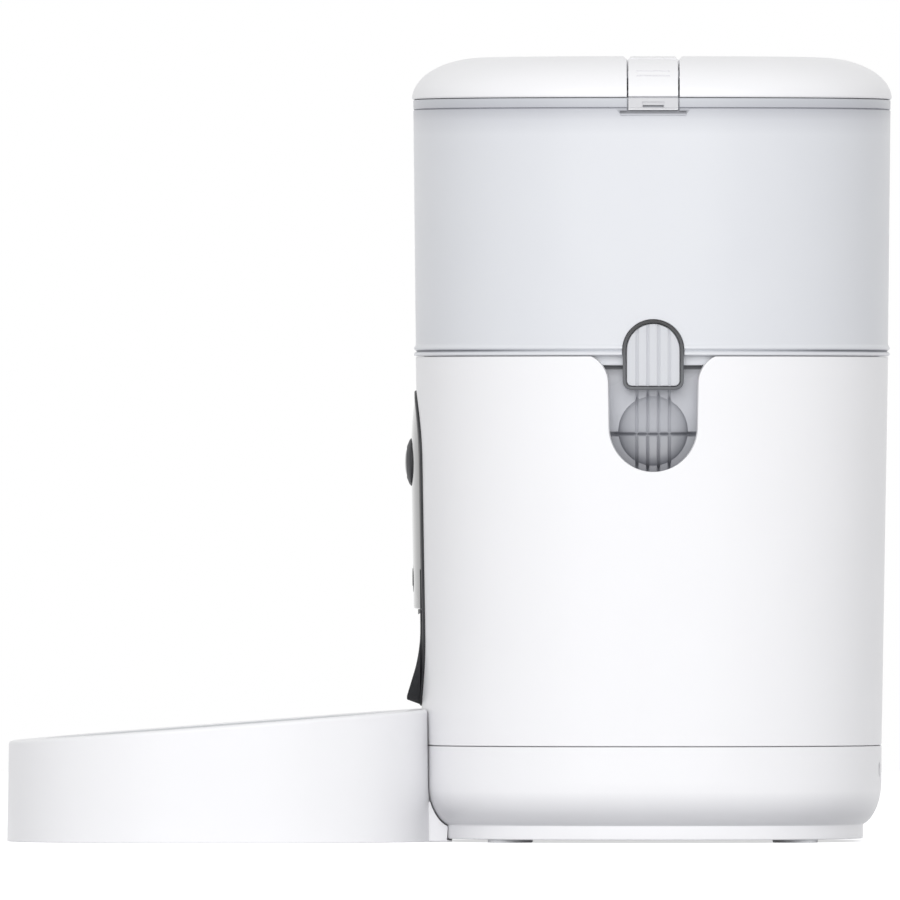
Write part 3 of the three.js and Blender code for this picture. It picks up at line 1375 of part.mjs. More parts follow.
// Chute: a hollow channel from under the deck to the lip at the front
function makeChute() {
  const frontTop = baseHalf + CHUTE_CHEEK_REACH;
  const side = new THREE.Shape([
    at(lipY, lipZ - OVERRUN),
    at(0, lipZ - OVERRUN),
    at(0, deckLow - CLEAR),
    at(-frontTop, deckLow - CLEAR),
    at(-frontTop, plateFoot - RUN),
    at(lipY, lipZ + CHUTE_WALL),
  ]);
  const envelope = sideways(side, -PANEL_HALF, PANEL_HALF);
  return shared(cut(channel(0), channel(-CHUTE_WALL)), envelope);
}

addPiece("outlet_chute", makeChute(), blackPlastic);

// Main board in its rails, and the speaker behind the grille
const mainBoard = block(
  centred(BOARD_HALF),
  [boardBack - BOARD_THICK, boardBack],
  [boardLow, boardHigh],
);
addPiece("main_board", mainBoard, greenBoard);

const speakerFace = planReach(baseHalf - SHELL_WALL, SPEAKER_RADIUS) - CLEAR;
const speaker = facingFront([
  at(0, -speakerFace),
  at(SPEAKER_RADIUS, -speakerFace),
  at(SPEAKER_RADIUS, SPEAKER_RIM - speakerFace),
  at(SPEAKER_MAGNET_RADIUS, SPEAKER_RIM - speakerFace),
  at(SPEAKER_MAGNET_RADIUS, SPEAKER_DEPTH - speakerFace),
  at(0, SPEAKER_DEPTH - speakerFace),
]);
addPiece("speaker", speaker, blackPlastic).position.z = speakerHeight;

// Tray with a sloping top, and the steel bowl that hangs in it
const trayRise = (TRAY_BACK_HEIGHT - TRAY_FRONT_HEIGHT) / (2 * TRAY_HALF_LENGTH);
const traySlope = Math.atan(trayRise);
const trayTopAt = (y) => TRAY_FRONT_HEIGHT + (y + frontReach) * trayRise;
const onTrayTop = (shape) => shape.rotateX(traySlope).translate(0, trayY, trayTopAt(trayY));
const bowlHalf = TRAY_HALF_WIDTH - BOWL_MARGIN;
const bowlWallHalf = bowlHalf - BOWL_RIM_WIDTH;
const bowlRimLow = -BOWL_RIM_DROP - STEEL_WALL;

function trayForm(inset, low) {
  const stretchShare = (TRAY_HALF_LENGTH - inset) / (TRAY_HALF_WIDTH - inset);
  return squared([
    at(0, low),
    at(TRAY_HALF_WIDTH - inset, low),
    at(TRAY_HALF_WIDTH - TRAY_TAPER - inset, TRAY_BACK_HEIGHT + OVERRUN),
    at(0, TRAY_BACK_HEIGHT + OVERRUN),
  ])
    .scale(1, stretchShare, 1)
    .translate(0, trayY, 0);
}

const aboveTray = (drop) =>
  onTrayTop(
    block(centred(2 * TRAY_HALF_WIDTH), centred(2 * TRAY_HALF_LENGTH), [-drop, TRAY_BACK_HEIGHT]),
  );

function makeTray() {
  const tongueBack = -(baseHalf - TONGUE_TUCK);
  const tongue = block(
    centred(TONGUE_HALF),
    [-baseHalf - TONGUE_ROOT, tongueBack],
    [0, TONGUE_HEIGHT],
  );
  const bodyRoom = squared(baseOutline(TRAY_GAP, TRAY_BACK_HEIGHT * 2));
  const outside = cut(join(trayForm(0, 0), tongue), aboveTray(0), bodyRoom);
  const recessDepth = BOWL_RIM_DROP + STEEL_WALL + CLEAR;
  const inside = cut(
    trayForm(TRAY_WALL, -OVERRUN),
    aboveTray(recessDepth + TRAY_DECK),
    squared(baseOutline(TRAY_GAP + TRAY_WALL, TRAY_BACK_HEIGHT * 2)),
    block(centred(TONGUE_HALF), [-baseHalf - TONGUE_ROOT, 0], [-OVERRUN, TONGUE_HEIGHT]),
  );
  const recess = onTrayTop(squared(column(bowlHalf + CLEAR, -recessDepth, OVERRUN)));
  const well = onTrayTop(
    squared(column(bowlWallHalf + STEEL_WALL + CLEAR, -TRAY_BACK_HEIGHT, OVERRUN)),
  );
  return cut(outside, inside, recess, well);
}

function makeBowl() {
  const floorHalf = bowlWallHalf - BOWL_SLANT;
  const corner = at(floorHalf - BOWL_CORNER + STEEL_WALL, BOWL_CORNER - BOWL_DEPTH);
  const innerRadius = BOWL_CORNER - STEEL_WALL;
  return onTrayTop(
    squared([
      at(0, -BOWL_DEPTH),
      ...arc(corner, BOWL_CORNER, BOWL_CORNER, -quarter, 0),
      at(bowlWallHalf + STEEL_WALL, bowlRimLow),
      at(bowlHalf, bowlRimLow),
      at(bowlHalf, -BOWL_RIM_DROP),
      at(bowlWallHalf, -BOWL_RIM_DROP),
      ...arc(corner, innerRadius, innerRadius, 0, -quarter),
      at(0, STEEL_WALL - BOWL_DEPTH),
    ]),
  );
}

addPiece("food_tray", makeTray(), whitePlastic);
addPiece("bowl", makeBowl(), brushedSteel);

export default feeder;
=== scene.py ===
# Smart pet feeder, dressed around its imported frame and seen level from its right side.
import json
import math

import bmesh
import bpy
from mathutils import Matrix, Vector


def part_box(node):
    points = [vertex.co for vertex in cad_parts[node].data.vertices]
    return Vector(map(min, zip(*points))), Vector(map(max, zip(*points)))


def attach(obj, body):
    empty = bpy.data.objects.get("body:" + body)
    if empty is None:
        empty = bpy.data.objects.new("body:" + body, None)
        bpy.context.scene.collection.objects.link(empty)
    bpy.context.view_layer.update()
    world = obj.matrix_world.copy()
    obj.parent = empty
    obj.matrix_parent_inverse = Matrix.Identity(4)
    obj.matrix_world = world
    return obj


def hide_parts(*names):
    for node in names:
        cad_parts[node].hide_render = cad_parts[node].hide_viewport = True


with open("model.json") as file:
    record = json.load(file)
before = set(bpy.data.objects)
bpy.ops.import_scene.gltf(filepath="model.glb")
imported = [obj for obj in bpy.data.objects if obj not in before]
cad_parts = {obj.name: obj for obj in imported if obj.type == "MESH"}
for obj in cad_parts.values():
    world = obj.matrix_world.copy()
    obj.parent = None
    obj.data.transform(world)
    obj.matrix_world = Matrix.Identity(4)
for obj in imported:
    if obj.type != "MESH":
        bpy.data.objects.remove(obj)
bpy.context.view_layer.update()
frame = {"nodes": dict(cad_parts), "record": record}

# Sizes are in millimetres from the housing's upright axis, with the front facing -Y.
# A piece is moved to the frame, in metres, when it is finished.
MM = 0.001
hopper_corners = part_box("hopper")
AXIS = Vector((0, (hopper_corners[0].y + hopper_corners[1].y) / 2, 0))
TO_FRAME = Matrix.Translation(AXIS) @ Matrix.Scale(MM, 4)


def room(node):
    """A CAD node's lowest and highest corners."""
    low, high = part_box(node)
    return (low - AXIS) / MM, (high - AXIS) / MM


def middle_of(node):
    low, high = room(node)
    return (low + high) / 2


# How finely round shapes are drawn
SHELL_STEPS = 160  # round a large shell
RING_STEPS = 64  # round a small turned piece
ARC_STEP = 1.1  # along a rounded corner
SHARP = math.radians(38)  # edges steeper than this are rounded, or else drawn crisp
STEEP = math.radians(50)  # the same for a form with a coarsely stepped curve
GROOVE_ANGLE = math.radians(97)  # a hollow edge folded further than this is a groove's bottom
PLAN_POWER = 2.5  # of the rounded-square plan: 2 is a circle, more is squarer
OVERRUN = 2  # how far a cut runs past the face that it opens
THROUGH = (-20, 20)  # a cut that runs right through a small piece
GAP = 0.3  # between pieces that rest on each other
MELD = 0.03  # corners closer together than this become one before edges are rounded
FULL = 0.01  # how far a full rounding stays short of half the width that it rounds
NEAR = 0.05  # how close to a line a place has to be to lie on it

# Body sizes
BODY_HALF = 93.5
BASE_HALF = 90.9
WALL = 2.6
BASE_LOW = room("base_tub")[0].z
SEAM_HIGH = room("housing_shell")[0].z
SEAM_LOW = SEAM_HIGH - GAP
SEAM = (SEAM_LOW + SEAM_HIGH) / 2
HOUSING_TOP = room("housing_shell")[1].z
HOUSING_HEIGHT = HOUSING_TOP - SEAM
LID_LOW = room("lid_cover")[0].z
LID_TOP = room("lid_cover")[1].z
LID_HALF = room("lid_cover")[1].y

ACROSS = Vector((1, 0, 0))
UP = Vector((0, 0, 1))
QUARTER = math.pi / 2
TO_RIGHT = Matrix.Rotation(QUARTER, 4, "Z")
TO_BACK = Matrix.Rotation(math.pi, 4, "Z")
TO_SIDE = Matrix.Rotation(QUARTER, 4, "Y")
FACE_FRONT = Matrix.Rotation(QUARTER, 4, "X")


# Ways of shaping a piece
def placed(form, matrix):
    bmesh.ops.transform(form, matrix=matrix, verts=form.verts)
    return form


def moved(form, x=0, y=0, z=0):
    return placed(form, Matrix.Translation((x, y, z)))


def merged(form, reach=0.001):
    bmesh.ops.remove_doubles(form, verts=form.verts, dist=reach)
    return form


def rounded(form, parts, kind, width, segments):
    """Rounds off a form's given corners or edges."""
    bmesh.ops.bevel(
        form, geom=parts, affect=kind, offset=width, offset_type="OFFSET", segments=segments,
        profile=0.5, clamp_overlap=False, material=-1,
    )
    return form


def wire(points, closed):
    """A line through points of distance across, height and, where a corner is rounded, its reach."""
    form = bmesh.new()
    spots = [form.verts.new((point[0], 0, point[1])) for point in points]
    for i in range(len(spots) - (0 if closed else 1)):
        form.edges.new((spots[i], spots[(i + 1) % len(spots)]))
    for spot, point in zip(spots, points):
        if len(point) > 2:
            rounded(form, [spot], "VERTICES", point[2], 3 + int(point[2] / ARC_STEP))
    return merged(form)


def arc(centre, reach, rise, start, end, steps=12):
    """Points along a part of an ellipse."""
    turns = [start + (end - start) * i / steps for i in range(steps + 1)]
    return [(centre[0] + reach * math.cos(t), centre[1] + rise * math.sin(t)) for t in turns]


def turned(points, steps=RING_STEPS):
    """A profile turned round the upright axis; one that starts off the axis is a closed ring."""
    form = wire(points, closed=points[0][0] > 0)
    bmesh.ops.spin(
        form,
        geom=form.verts[:] + form.edges[:],
        cent=(0, 0, 0),
        axis=(0, 0, 1),
        angle=2 * math.pi,
        steps=steps,
        use_merge=True,
    )
    merged(form)
    bmesh.ops.recalc_face_normals(form, faces=form.faces)
    return form


def reach_at(angle):
    """How far the rounded-square plan of half-size 1 reaches at an angle."""
    across = abs(math.cos(angle)) ** PLAN_POWER + abs(math.sin(angle)) ** PLAN_POWER
    return across ** (-1 / PLAN_POWER)


def squared(points, steps=SHELL_STEPS):
    """A turned form with its round plan pushed out to the feeder's rounded square."""
    form = turned(points, steps)
    for spot in form.verts:
        reach = reach_at(math.atan2(spot.co.y, spot.co.x))
        spot.co.x *= reach
        spot.co.y *= reach
    return form


def plate(points, near, far):
    """A flat outline pushed back from y = near to y = far."""
    form = wire(points, closed=True)
    bmesh.ops.contextual_create(form, geom=form.edges[:])
    grown = bmesh.ops.extrude_face_region(form, geom=form.faces[:])["geom"]
    pushed = [part for part in grown if isinstance(part, bmesh.types.BMVert)]
    bmesh.ops.translate(form, vec=(0, far - near, 0), verts=pushed)
    bmesh.ops.recalc_face_normals(form, faces=form.faces)
    return moved(form, y=near)


def block(x, y, z, rounding=0):
    form = bmesh.new()
    bmesh.ops.create_cube(form, size=1)
    bmesh.ops.scale(form, vec=(x[1] - x[0], y[1] - y[0], z[1] - z[0]), verts=form.verts)
    moved(form, (x[0] + x[1]) / 2, (y[0] + y[1]) / 2, (z[0] + z[1]) / 2)
    if rounding:
        soften(form, rounding)
    return form


def rod(radius, low, high, rounding=0.3, steps=RING_STEPS):
    return turned([(0, low), (radius, low, rounding), (radius, high, rounding), (0, high)], steps)


def soften(form, width, segments=2, steepness=SHARP):
    """Rounds every outer edge that is steeper than the given angle."""
    steep = [
        edge
        for edge in merged(form, MELD).edges
        if len(edge.link_faces) == 2 and edge.calc_face_angle_signed() > steepness
    ]
    return rounded(form, steep, "EDGES", width, segments)


def combine(form, tools, how="DIFFERENCE"):
    """A form cut by, joined to or shared with other forms."""
    helpers = []
    for shape in [form, *tools]:
        mesh = bpy.data.meshes.new("helper")
        shape.to_mesh(mesh)
        shape.free()
        helper = bpy.data.objects.new("helper", mesh)
        bpy.context.scene.collection.objects.link(helper)
        helpers.append(helper)
    for tool in helpers[1:]:
        step = helpers[0].modifiers.new("step", "BOOLEAN")
        step.operation = how
        step.solver = "EXACT"
        step.object = tool
    bpy.context.view_layer.update()
    result = bmesh.new()
    result.from_object(helpers[0], bpy.context.evaluated_depsgraph_get())
    for helper in helpers:
        bpy.data.meshes.remove(helper.data)
    return merged(result)


def half_at(height):
    """The housing's half-size at a height."""
    return BODY_HALF - (BODY_HALF - BASE_HALF) * (HOUSING_TOP - height) / HOUSING_HEIGHT


def unrolled(form):
    """Stretches a flat outline so that it has its own width again once it is bent."""
    for spot in form.verts:
        share = abs(spot.co.x) / BODY_HALF
        deep = (1 - share**PLAN_POWER) ** (1 / PLAN_POWER)
        spot.co.x = BODY_HALF * math.atan2(spot.co.x / BODY_HALF, deep)
    return form


def sliced(form, direction, step):
    """Divides a form's faces across at every step along a direction."""
    places = [spot.co.dot(direction) for spot in form.verts]
    for i in range(math.ceil(min(places) / step), math.floor(max(places) / step) + 1):
        bmesh.ops.bisect_plane(
            form,
            geom=form.verts[:] + form.edges[:] + form.faces[:],
            plane_co=i * step * direction,
            plane_no=direction,
            dist=0.0001,
        )
    return form


def bent(form):
    """Bends a flat form round the housing. Its x runs round from the front and its y is depth."""
    sliced(form, ACROSS, 2 * math.pi * BODY_HALF / SHELL_STEPS)
    for spot in form.verts:
        angle = spot.co.x / BODY_HALF - QUARTER
        reach = (half_at(spot.co.z) - spot.co.y) * reach_at(angle)
        spot.co.x = reach * math.cos(angle)
        spot.co.y = reach * math.sin(angle)
    return merged(form, MELD)


def centred(half):
    return (-half, half)


def limited(share):
    return max(0, min(1, share))


def facing(form, place):
    """Turns an upright form to point to the front, level with a place."""
    return moved(placed(form, FACE_FRONT), place.x, 0, place.z)


def facing_back(form, place):
    return moved(placed(placed(form, FACE_FRONT), TO_BACK), place.x, 0, place.z)


def outlined(half, low, top, foot, head):
    """A flat outline with its lower corners rounded by foot and its upper corners by head."""
    return [(-half, low, foot), (half, low, foot), (half, top, head), (-half, top, head)]


def stadium(half, low, top):
    return outlined(half, low, top, half - FULL, half - FULL)


def inlet_outline(half, tall):
    return outlined(half, -tall, tall, tall - FULL, tall - FULL)


# Materials
def linear(text):
    """An sRGB hex colour as the linear colour that a shader takes."""
    shares = [int(text[i : i + 2], 16) / 255 for i in (0, 2, 4)]
    return [s / 12.92 if s <= 0.04045 else ((s + 0.055) / 1.055) ** 2.4 for s in shares] + [1]


def add(tree, kind, values={}):
    """Adds a node. A value that is a node's output is linked; others set a socket or an attribute."""
    node = tree.nodes.new("ShaderNode" + kind)
    for name, value in values.items():
        if isinstance(value, bpy.types.NodeSocket):
            tree.links.new(value, node.inputs[name])
        elif isinstance(name, int) or name in node.inputs:
            node.inputs[name].default_value = value
        else:
            setattr(node, name, value)
    return node


def noise(tree, place, size, detail, distortion=0):
    """Noise whose patches are about size mm across."""
    values = {"Scale": 1 / (size * MM), "Detail": detail, "Distortion": distortion, "Vector": place}
    return add(tree, "TexNoise", values).outputs[0]


def mixed(tree, share, first, second, blend="MIX"):
    """Two colours, mixed by a share."""
    values = {"data_type": "RGBA", "blend_type": blend, 0: share, 6: first, 7: second}
    return add(tree, "Mix", values).outputs[2]


def spread(tree, value, low, high, start=0, end=1):
    """A value that ran from start to end, made to run from low to high."""
    values = {"From Min": start, "From Max": end, "To Min": low, "To Max": high, "Value": value}
    return add(tree, "MapRange", values).outputs[0]


def bumped(tree, height, strength, depth):
    """The surface direction of a relief depth mm deep."""
    values = {"Strength": strength, "Distance": depth * MM, "Height": height}
    return add(tree, "Bump", values).outputs[0]


def finish(name, **sockets):
    """A new material with one shader, and the tree and the place on the piece to build it from."""
    material = bpy.data.materials.new(name)
    material.use_nodes = True
    tree = material.node_tree
    shader = tree.nodes["Principled BSDF"]
    for socket, value in sockets.items():
        shader.inputs[socket.replace("_", " ")].default_value = value
    place = add(tree, "TexCoord").outputs["Object"]
    return material, tree, shader, place


CLOUD = 35  # size of the soft patches that a moulded surface shows, in mm
PAINTED_SHADE = "96979C"  # tint of the painted shade in grooves, slots and recesses


def moulded(name, colour, shade, roughness, grain, relief, **sockets):
    """Moulded plastic: fine mould grain, soft patches of colour and polish, and painted shade where a
    piece asks for it.
    """
    material, tree, shader, place = finish(name, **sockets)
    cloud = noise(tree, place, CLOUD, 2)
    # the piece's groove attribute says how much painted shade each place gets
    groove = add(tree, "Attribute", {"attribute_name": "groove"}).outputs["Fac"]
    tone = mixed(tree, cloud, linear(colour), linear(shade))
    shaded_tone = mixed(tree, groove, tone, linear(PAINTED_SHADE), "MULTIPLY")
    polish = spread(tree, cloud, roughness - 0.05, roughness + 0.05)
    bump = bumped(tree, noise(tree, place, grain, 2), 0.6, relief)
    tree.links.new(shaded_tone, shader.inputs["Base Color"])
    tree.links.new(polish, shader.inputs["Roughness"])
    tree.links.new(bump, shader.inputs["Normal"])
    return material


def tinted(material, stops):
    """Tints a moulded colour by height: each stop is a height and its tint, blended in between."""
    tree = material.node_tree
    shader = tree.nodes["Principled BSDF"]
    plain = shader.inputs["Base Color"].links[0].from_socket
    place = add(tree, "TexCoord").outputs["Object"]
    height = add(tree, "SeparateXYZ", {0: place}).outputs["Z"]
    low, high = stops[0][0], stops[-1][0]
    ramp = add(tree, "ValToRGB", {0: spread(tree, height, 0, 1, low * MM, high * MM)})
    marks = ramp.color_ramp.elements
    while len(marks) < len(stops):
        marks.new(0.5)
    for mark, (stop, tint) in zip(marks, stops):
        mark.position = (stop - low) / (high - low)
        mark.color = linear(tint)
    deeper = mixed(tree, 1, plain, ramp.outputs[0], "MULTIPLY")
    tree.links.new(deeper, shader.inputs["Base Color"])
    return material


def brushed(name, colour):
    """Metal rubbed round and round: long thin scratches, drawn 0.5 mm apart so that they show."""
    material, tree, shader, place = finish(name, Metallic=1, Base_Color=linear(colour))
    stretched = add(tree, "Mapping", {"Scale": (0.04, 0.04, 1), "Vector": place}).outputs[0]
    lines = noise(tree, stretched, 0.5, 3)
    tree.links.new(spread(tree, lines, 0.2, 0.42), shader.inputs["Roughness"])
    tree.links.new(bumped(tree, lines, 0.25, 0.05), shader.inputs["Normal"])
    return material


def circuit_board():
    """FR4 laminate under green solder mask: thin copper lines show through it."""
    material, tree, shader, place = finish("fr4_solder_mask", Roughness=0.42, Coat_Weight=0.3)
    colours = {"Color1": linear("1F6A42"), "Color2": linear("1B5E3A"), "Mortar": linear("3C8A5C")}
    sizes = {"Scale": 1 / (6 * MM), "Mortar Size": 0.06}
    lines = add(tree, "TexBrick", {**colours, **sizes, "Vector": place})
    tree.links.new(lines.outputs[0], shader.inputs["Base Color"])
    return material


def sachet_paper():
    """Bonded fibre paper: long soft fibres, drawn 1.5 mm apart so that they show."""
    material, tree, shader, place = finish("bonded_fibre_paper", Roughness=0.9)
    fibres = noise(tree, place, 1.5, 6, 2)
    tone = mixed(tree, fibres, linear("F4F1E8"), linear("DAD5C8"))
    tree.links.new(tone, shader.inputs["Base Color"])
    tree.links.new(bumped(tree, fibres, 0.5, 0.1), shader.inputs["Normal"])
    return material


FINISHES = {
    # Satin moulded ABS: an even near-white with a soft sheen and a barely felt grain. The tabs of
    # the latches get painted shade below the lid's edge, so they are greyer.
    "white_abs": moulded("abs_moulded_satin", "F3F3F5", "F0F0F2", 0.36, 0.7, 0.01),
    # Natural polypropylene: milky and cool, a little light passes through it, blurred. Its rim has a
    # painted grey band of shade where the lid's skirt stands behind it, and painted shade fading down
    # below.
    "milky_plastic": tinted(
        moulded(
            "polypropylene_moulded_milky", "E7E9ED", "E3E5EA", 0.32, 0.9, 0.008,
            Transmission_Weight=0.08, IOR=1.49,
        ),
        [(279, "FFFFFF"), (284.7, "F3F3F4"), (287.2, "E5E5E7"), (289.3, "D9D9DC"), (294, "E8E9EA")],
    ),
    # Smoked polycarbonate: grey, with painted shade that deepens down the pocket to its foot, and a
    # painted shadow on its lip behind the hopper's collar.
    "smoke_plastic": tinted(
        moulded("polycarbonate_moulded_smoked", "DFE0E4", "D9DADE", 0.28, 0.8, 0.01),
        [
            (146, "9C9CA0"), (160, "BDBEC1"), (164, "D6D7DA"), (176, "ECEDEF"), (186.4, "F4F4F5"),
            (186.7, "8C8D90"), (190, "8C8D90"),
        ],
    ),
    # Matt black ABS: a spark-eroded mould leaves a fine grain, drawn 0.8 mm so that it shows.
    "black_abs": moulded("abs_moulded_matt_black", "1B1C1F", "232428", 0.5, 0.8, 0.03),
    # Satin graphite ABS: a dark grey frame, deeper at its top.
    "graphite_abs": tinted(
        moulded("abs_moulded_graphite", "55575B", "5B5D61", 0.4, 0.8, 0.01),
        [(185, "FFFFFF"), (206, "5A5A5C")],
    ),
    # Polished black acrylic: a mirror-like face with a clear coat.
    "gloss_black": moulded(
        "acrylic_polished_black", "0D0E11", "101115", 0.1, 3, 0.002, Coat_Weight=0.6,
        Coat_Roughness=0.03,
    ),
    # Pale grey rubber: dull, with a coarse dusty grain.
    "grey_rubber": moulded("rubber_moulded_grey", "E6E7E9", "DEE0E2", 0.8, 0.9, 0.05),
    # Grey silicone: soft sheen and slightly dusty.
    "grey_silicone": moulded("silicone_moulded_grey", "A9ABB1", "9EA0A7", 0.55, 0.8, 0.02),
    # Stainless steel, brushed round the bowl.
    "stainless_steel": brushed("stainless_steel_brushed", "C8CACD"),
    # Turned brass: warm, with fine lines round the piece.
    "brass": brushed("brass_turned", "C9A85C"),
    "circuit_board": circuit_board(),
    # Acetal: waxy off-white.
    "gear_plastic": moulded("acetal_moulded_cream", "E9E5D6", "E2DDCC", 0.4, 0.7, 0.01),
    # Shrunk PVC film: dark, glossy and slightly wavy.
    "cell_wrap": moulded("pvc_shrunk_dark", "3A4046", "32373D", 0.3, 4, 0.03),
    "sachet_paper": sachet_paper(),
}
BODY_OF = {
    node: body for body, nodes in frame["record"]["behaviour"]["bodies"].items() for node in nodes
}


def painted_shade_on(form, amount_at):
    """Stores how much painted shade each place on a form gets, from 0 to 1, for its plastic."""
    mark = form.verts.layers.float.get("groove") or form.verts.layers.float.new("groove")
    for spot in form.verts:
        spot[mark] = max(spot[mark], amount_at(spot.co))
    return form


def painted_shade_in_grooves(form, amount):
    """Paints shade into the bottoms of a form's V-grooves."""
    hollow = {
        tuple(spot.co)
        for edge in form.edges
        if len(edge.link_faces) == 2 and edge.calc_face_angle_signed() < -GROOVE_ANGLE
        for spot in edge.verts
    }
    return painted_shade_on(form, lambda place: amount if tuple(place) in hollow else 0)


def piece(node, form, slot, finish_name=""):
    """Finishes the form that stands for a CAD node, in its slot's material or another finish."""
    placed(form, TO_FRAME)
    mesh = bpy.data.meshes.new(node + "_form")
    form.to_mesh(mesh)
    form.free()
    mesh.materials.append(FINISHES[finish_name or slot])
    mesh.shade_smooth()
    mesh.set_sharp_from_angle(angle=SHARP)
    thing = bpy.data.objects.new(node + "_form", mesh)
    bpy.context.scene.collection.objects.link(thing)
    thing.modifiers.new("even_shading", "WEIGHTED_NORMAL").keep_sharp = True
    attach(thing, BODY_OF[node])
    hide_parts(node)


def pair(node, form, slot, finish_name=""):
    """The +X piece, and the same piece half a turn round on the -X side."""
    other = placed(form.copy(), TO_BACK)
    piece(node + "_right", form, slot, finish_name)
    piece(node + "_left", other, slot, finish_name)


def both_sides(form):
    return [form, placed(form.copy(), TO_BACK)]


# Base: a tub with a rounded lower corner on a set-in plinth
CORNER_REACH = 10
CORNER_DROP = 18
CORNER_TOP = 24
PLINTH_HALF = 83.6
PLINTH_TOP = 6.7
PLINTH_SIDE = 0.72  # share of PLINTH_HALF beyond which a place is beside the plinth
BASE_FLOOR = 5.8
# painted shade down the base's rounded corner: how strong, where it starts and how far it deepens
BASE_SHADE = 0.38
BASE_SHADE_TOP = 20
BASE_SHADE_DROP = 9
SEAM_TONGUE = 1.2  # thickness of the tongue behind the seam
BAY_WALL = 2
DOOR_TRAVEL = 9
RESET_RADIUS = 2.6
BELOW = -1  # where a cut from under the base starts
foot_nodes = [node for node in frame["nodes"] if node.startswith("foot_")]
screw_nodes = [node for node in frame["nodes"] if node.startswith("screw_")]


def base_outline(outset):
    """The base's outer face, from the axis out and up its rounded corner."""
    start = math.asin(1 - (BASE_HALF - PLINTH_HALF) / CORNER_REACH) - QUARTER
    corner = (BASE_HALF - CORNER_REACH, CORNER_TOP)
    curve = arc(corner, CORNER_REACH + outset, CORNER_DROP + outset, start, 0)
    return [(0, BASE_LOW - outset), (PLINTH_HALF + outset, BASE_LOW - outset, 0.6), *curve]


def base_shade_at(place):
    """Painted shade that deepens down the base's rounded corner, where it turns under, but not on its
    plinth.
    """
    beside_plinth = max(abs(place.x), abs(place.y)) > PLINTH_SIDE * PLINTH_HALF
    share = limited((BASE_SHADE_TOP - place.z) / BASE_SHADE_DROP)
    return BASE_SHADE * share if beside_plinth and place.z > PLINTH_TOP else 0


def make_base():
    """The tub, with a tongue inside the seam, a battery bay and seats for what it holds."""
    tongue = BASE_HALF - WALL - GAP
    tongue_top = room("base_tub")[1].z
    shell = squared(
        base_outline(0)
        + [
            (BASE_HALF, SEAM_LOW, 0.3), (tongue, SEAM_LOW), (tongue, tongue_top, 0.3),
            (tongue - SEAM_TONGUE, tongue_top, 0.3), (tongue - SEAM_TONGUE, CORNER_TOP + 4),
            (BASE_HALF - WALL, CORNER_TOP), (PLINTH_HALF - WALL, BASE_FLOOR), (0, BASE_FLOOR),
        ]
    )
    bay_low, bay_high = room("battery_contacts_front")[0], room("battery_contacts_back")[1]
    bay_top = room("battery_1")[1].z + GAP
    door_low, door_high = room("battery_door")
    x = (bay_low.x - GAP, bay_high.x + GAP)
    y = (bay_low.y - GAP, bay_high.y + GAP)
    bay = block(
        (x[0] - BAY_WALL, x[1] + BAY_WALL), (y[0] - BAY_WALL, y[1] + BAY_WALL),
        (door_high.z, bay_top + BAY_WALL), 0.4,
    )
    door_y = (door_low.y - GAP, door_high.y + DOOR_TRAVEL + GAP)
    tools = [
        block(x, y, (0, bay_top)),
        block((door_low.x - GAP, door_high.x + GAP), door_y, (0, door_high.z + GAP), 0.15),
    ]
    for node in foot_nodes + screw_nodes:
        high, middle = room(node)[1], middle_of(node)
        top = high.z + GAP if node in foot_nodes else BASE_FLOOR + OVERRUN
        tools.append(moved(rod(high.x - middle.x + GAP, BELOW, top), middle.x, middle.y))
    low, high = room("power_inlet")
    size = (high - low) / 2
    outline = inlet_outline(size.x + GAP, size.z + GAP)
    inlet = plate(outline, BASE_HALF - WALL - 4, BASE_HALF + OVERRUN)
    tools.append(moved(inlet, z=middle_of("power_inlet").z))
    reset = rod(RESET_RADIUS + GAP, BASE_HALF - 2 * WALL, BASE_HALF + OVERRUN)
    tools.append(facing_back(reset, middle_of("reset_button")))
    return painted_shade_on(combine(combine(shell, [bay], "UNION"), tools), base_shade_at)


def make_foot(node):
    """A round rubber foot with a dished sole."""
    low, high = room(node)
    middle = middle_of(node)
    radius = high.x - middle.x
    sole = turned([
        (0, low.z + 0.5), (radius * 0.6, low.z + 0.5, 1), (radius * 0.75, low.z, 0.4),
        (radius, low.z, 0.5), (radius, high.z, 0.2), (0, high.z),
    ])
    return moved(sole, middle.x, middle.y)


def make_screw(node):
    """A pan-head screw, head down, with a cross recess."""
    low, high = room(node)
    middle = middle_of(node)
    head = high.x - middle.x
    head_top = low.z + 2.2
    shank_half = 1.5
    shank = turned([
        (0, low.z), (head, low.z, 0.9), (head, head_top, 0.2), (shank_half, head_top),
        (shank_half, high.z, 0.8), (0, high.z),
    ], 32)
    arm, slit, depth = centred(1.9), centred(0.35), (low.z - 1, low.z + 1.2)
    cross = [block(arm, slit, depth), block(slit, arm, depth)]
    return moved(combine(shank, cross), middle.x, middle.y)


def make_door():
    """The battery door, with a thumb dent and five grip ribs in it."""
    low, high = room("battery_door")
    slab = block((low.x, high.x), (low.y, high.y), (low.z, high.z), 0.3)
    dip_y = high.y - 12
    dip = moved(turned([(0, -4), (6, -4), (6, 0.9, 0.8), (0, 0.9)]), 0, dip_y, low.z)
    rib_z = (low.z + 0.3, low.z + 1.4)
    ribs = [
        moved(block(centred(4.2), centred(0.25), rib_z, 0.1), y=dip_y + 1.7 * i)
        for i in range(-2, 3)
    ]
    return combine(combine(slab, [dip]), ribs, "UNION")


def make_inlet():
    """A pressed metal power socket with its tongue."""
    low, high = room("power_inlet")
    size = (high - low) / 2
    wall = 0.9
    shell = soften(plate(inlet_outline(size.x, size.z), low.y, high.y), 0.4)
    mouth = plate(inlet_outline(size.x - wall, size.z - wall), high.y - 6.5, high.y + OVERRUN)
    tongue = block(centred(size.x - 2.6), (high.y - 7.5, high.y - 1), centred(0.6), 0.2)
    form = combine(combine(shell, [mouth]), [tongue], "UNION")
    return moved(form, z=middle_of("power_inlet").z)


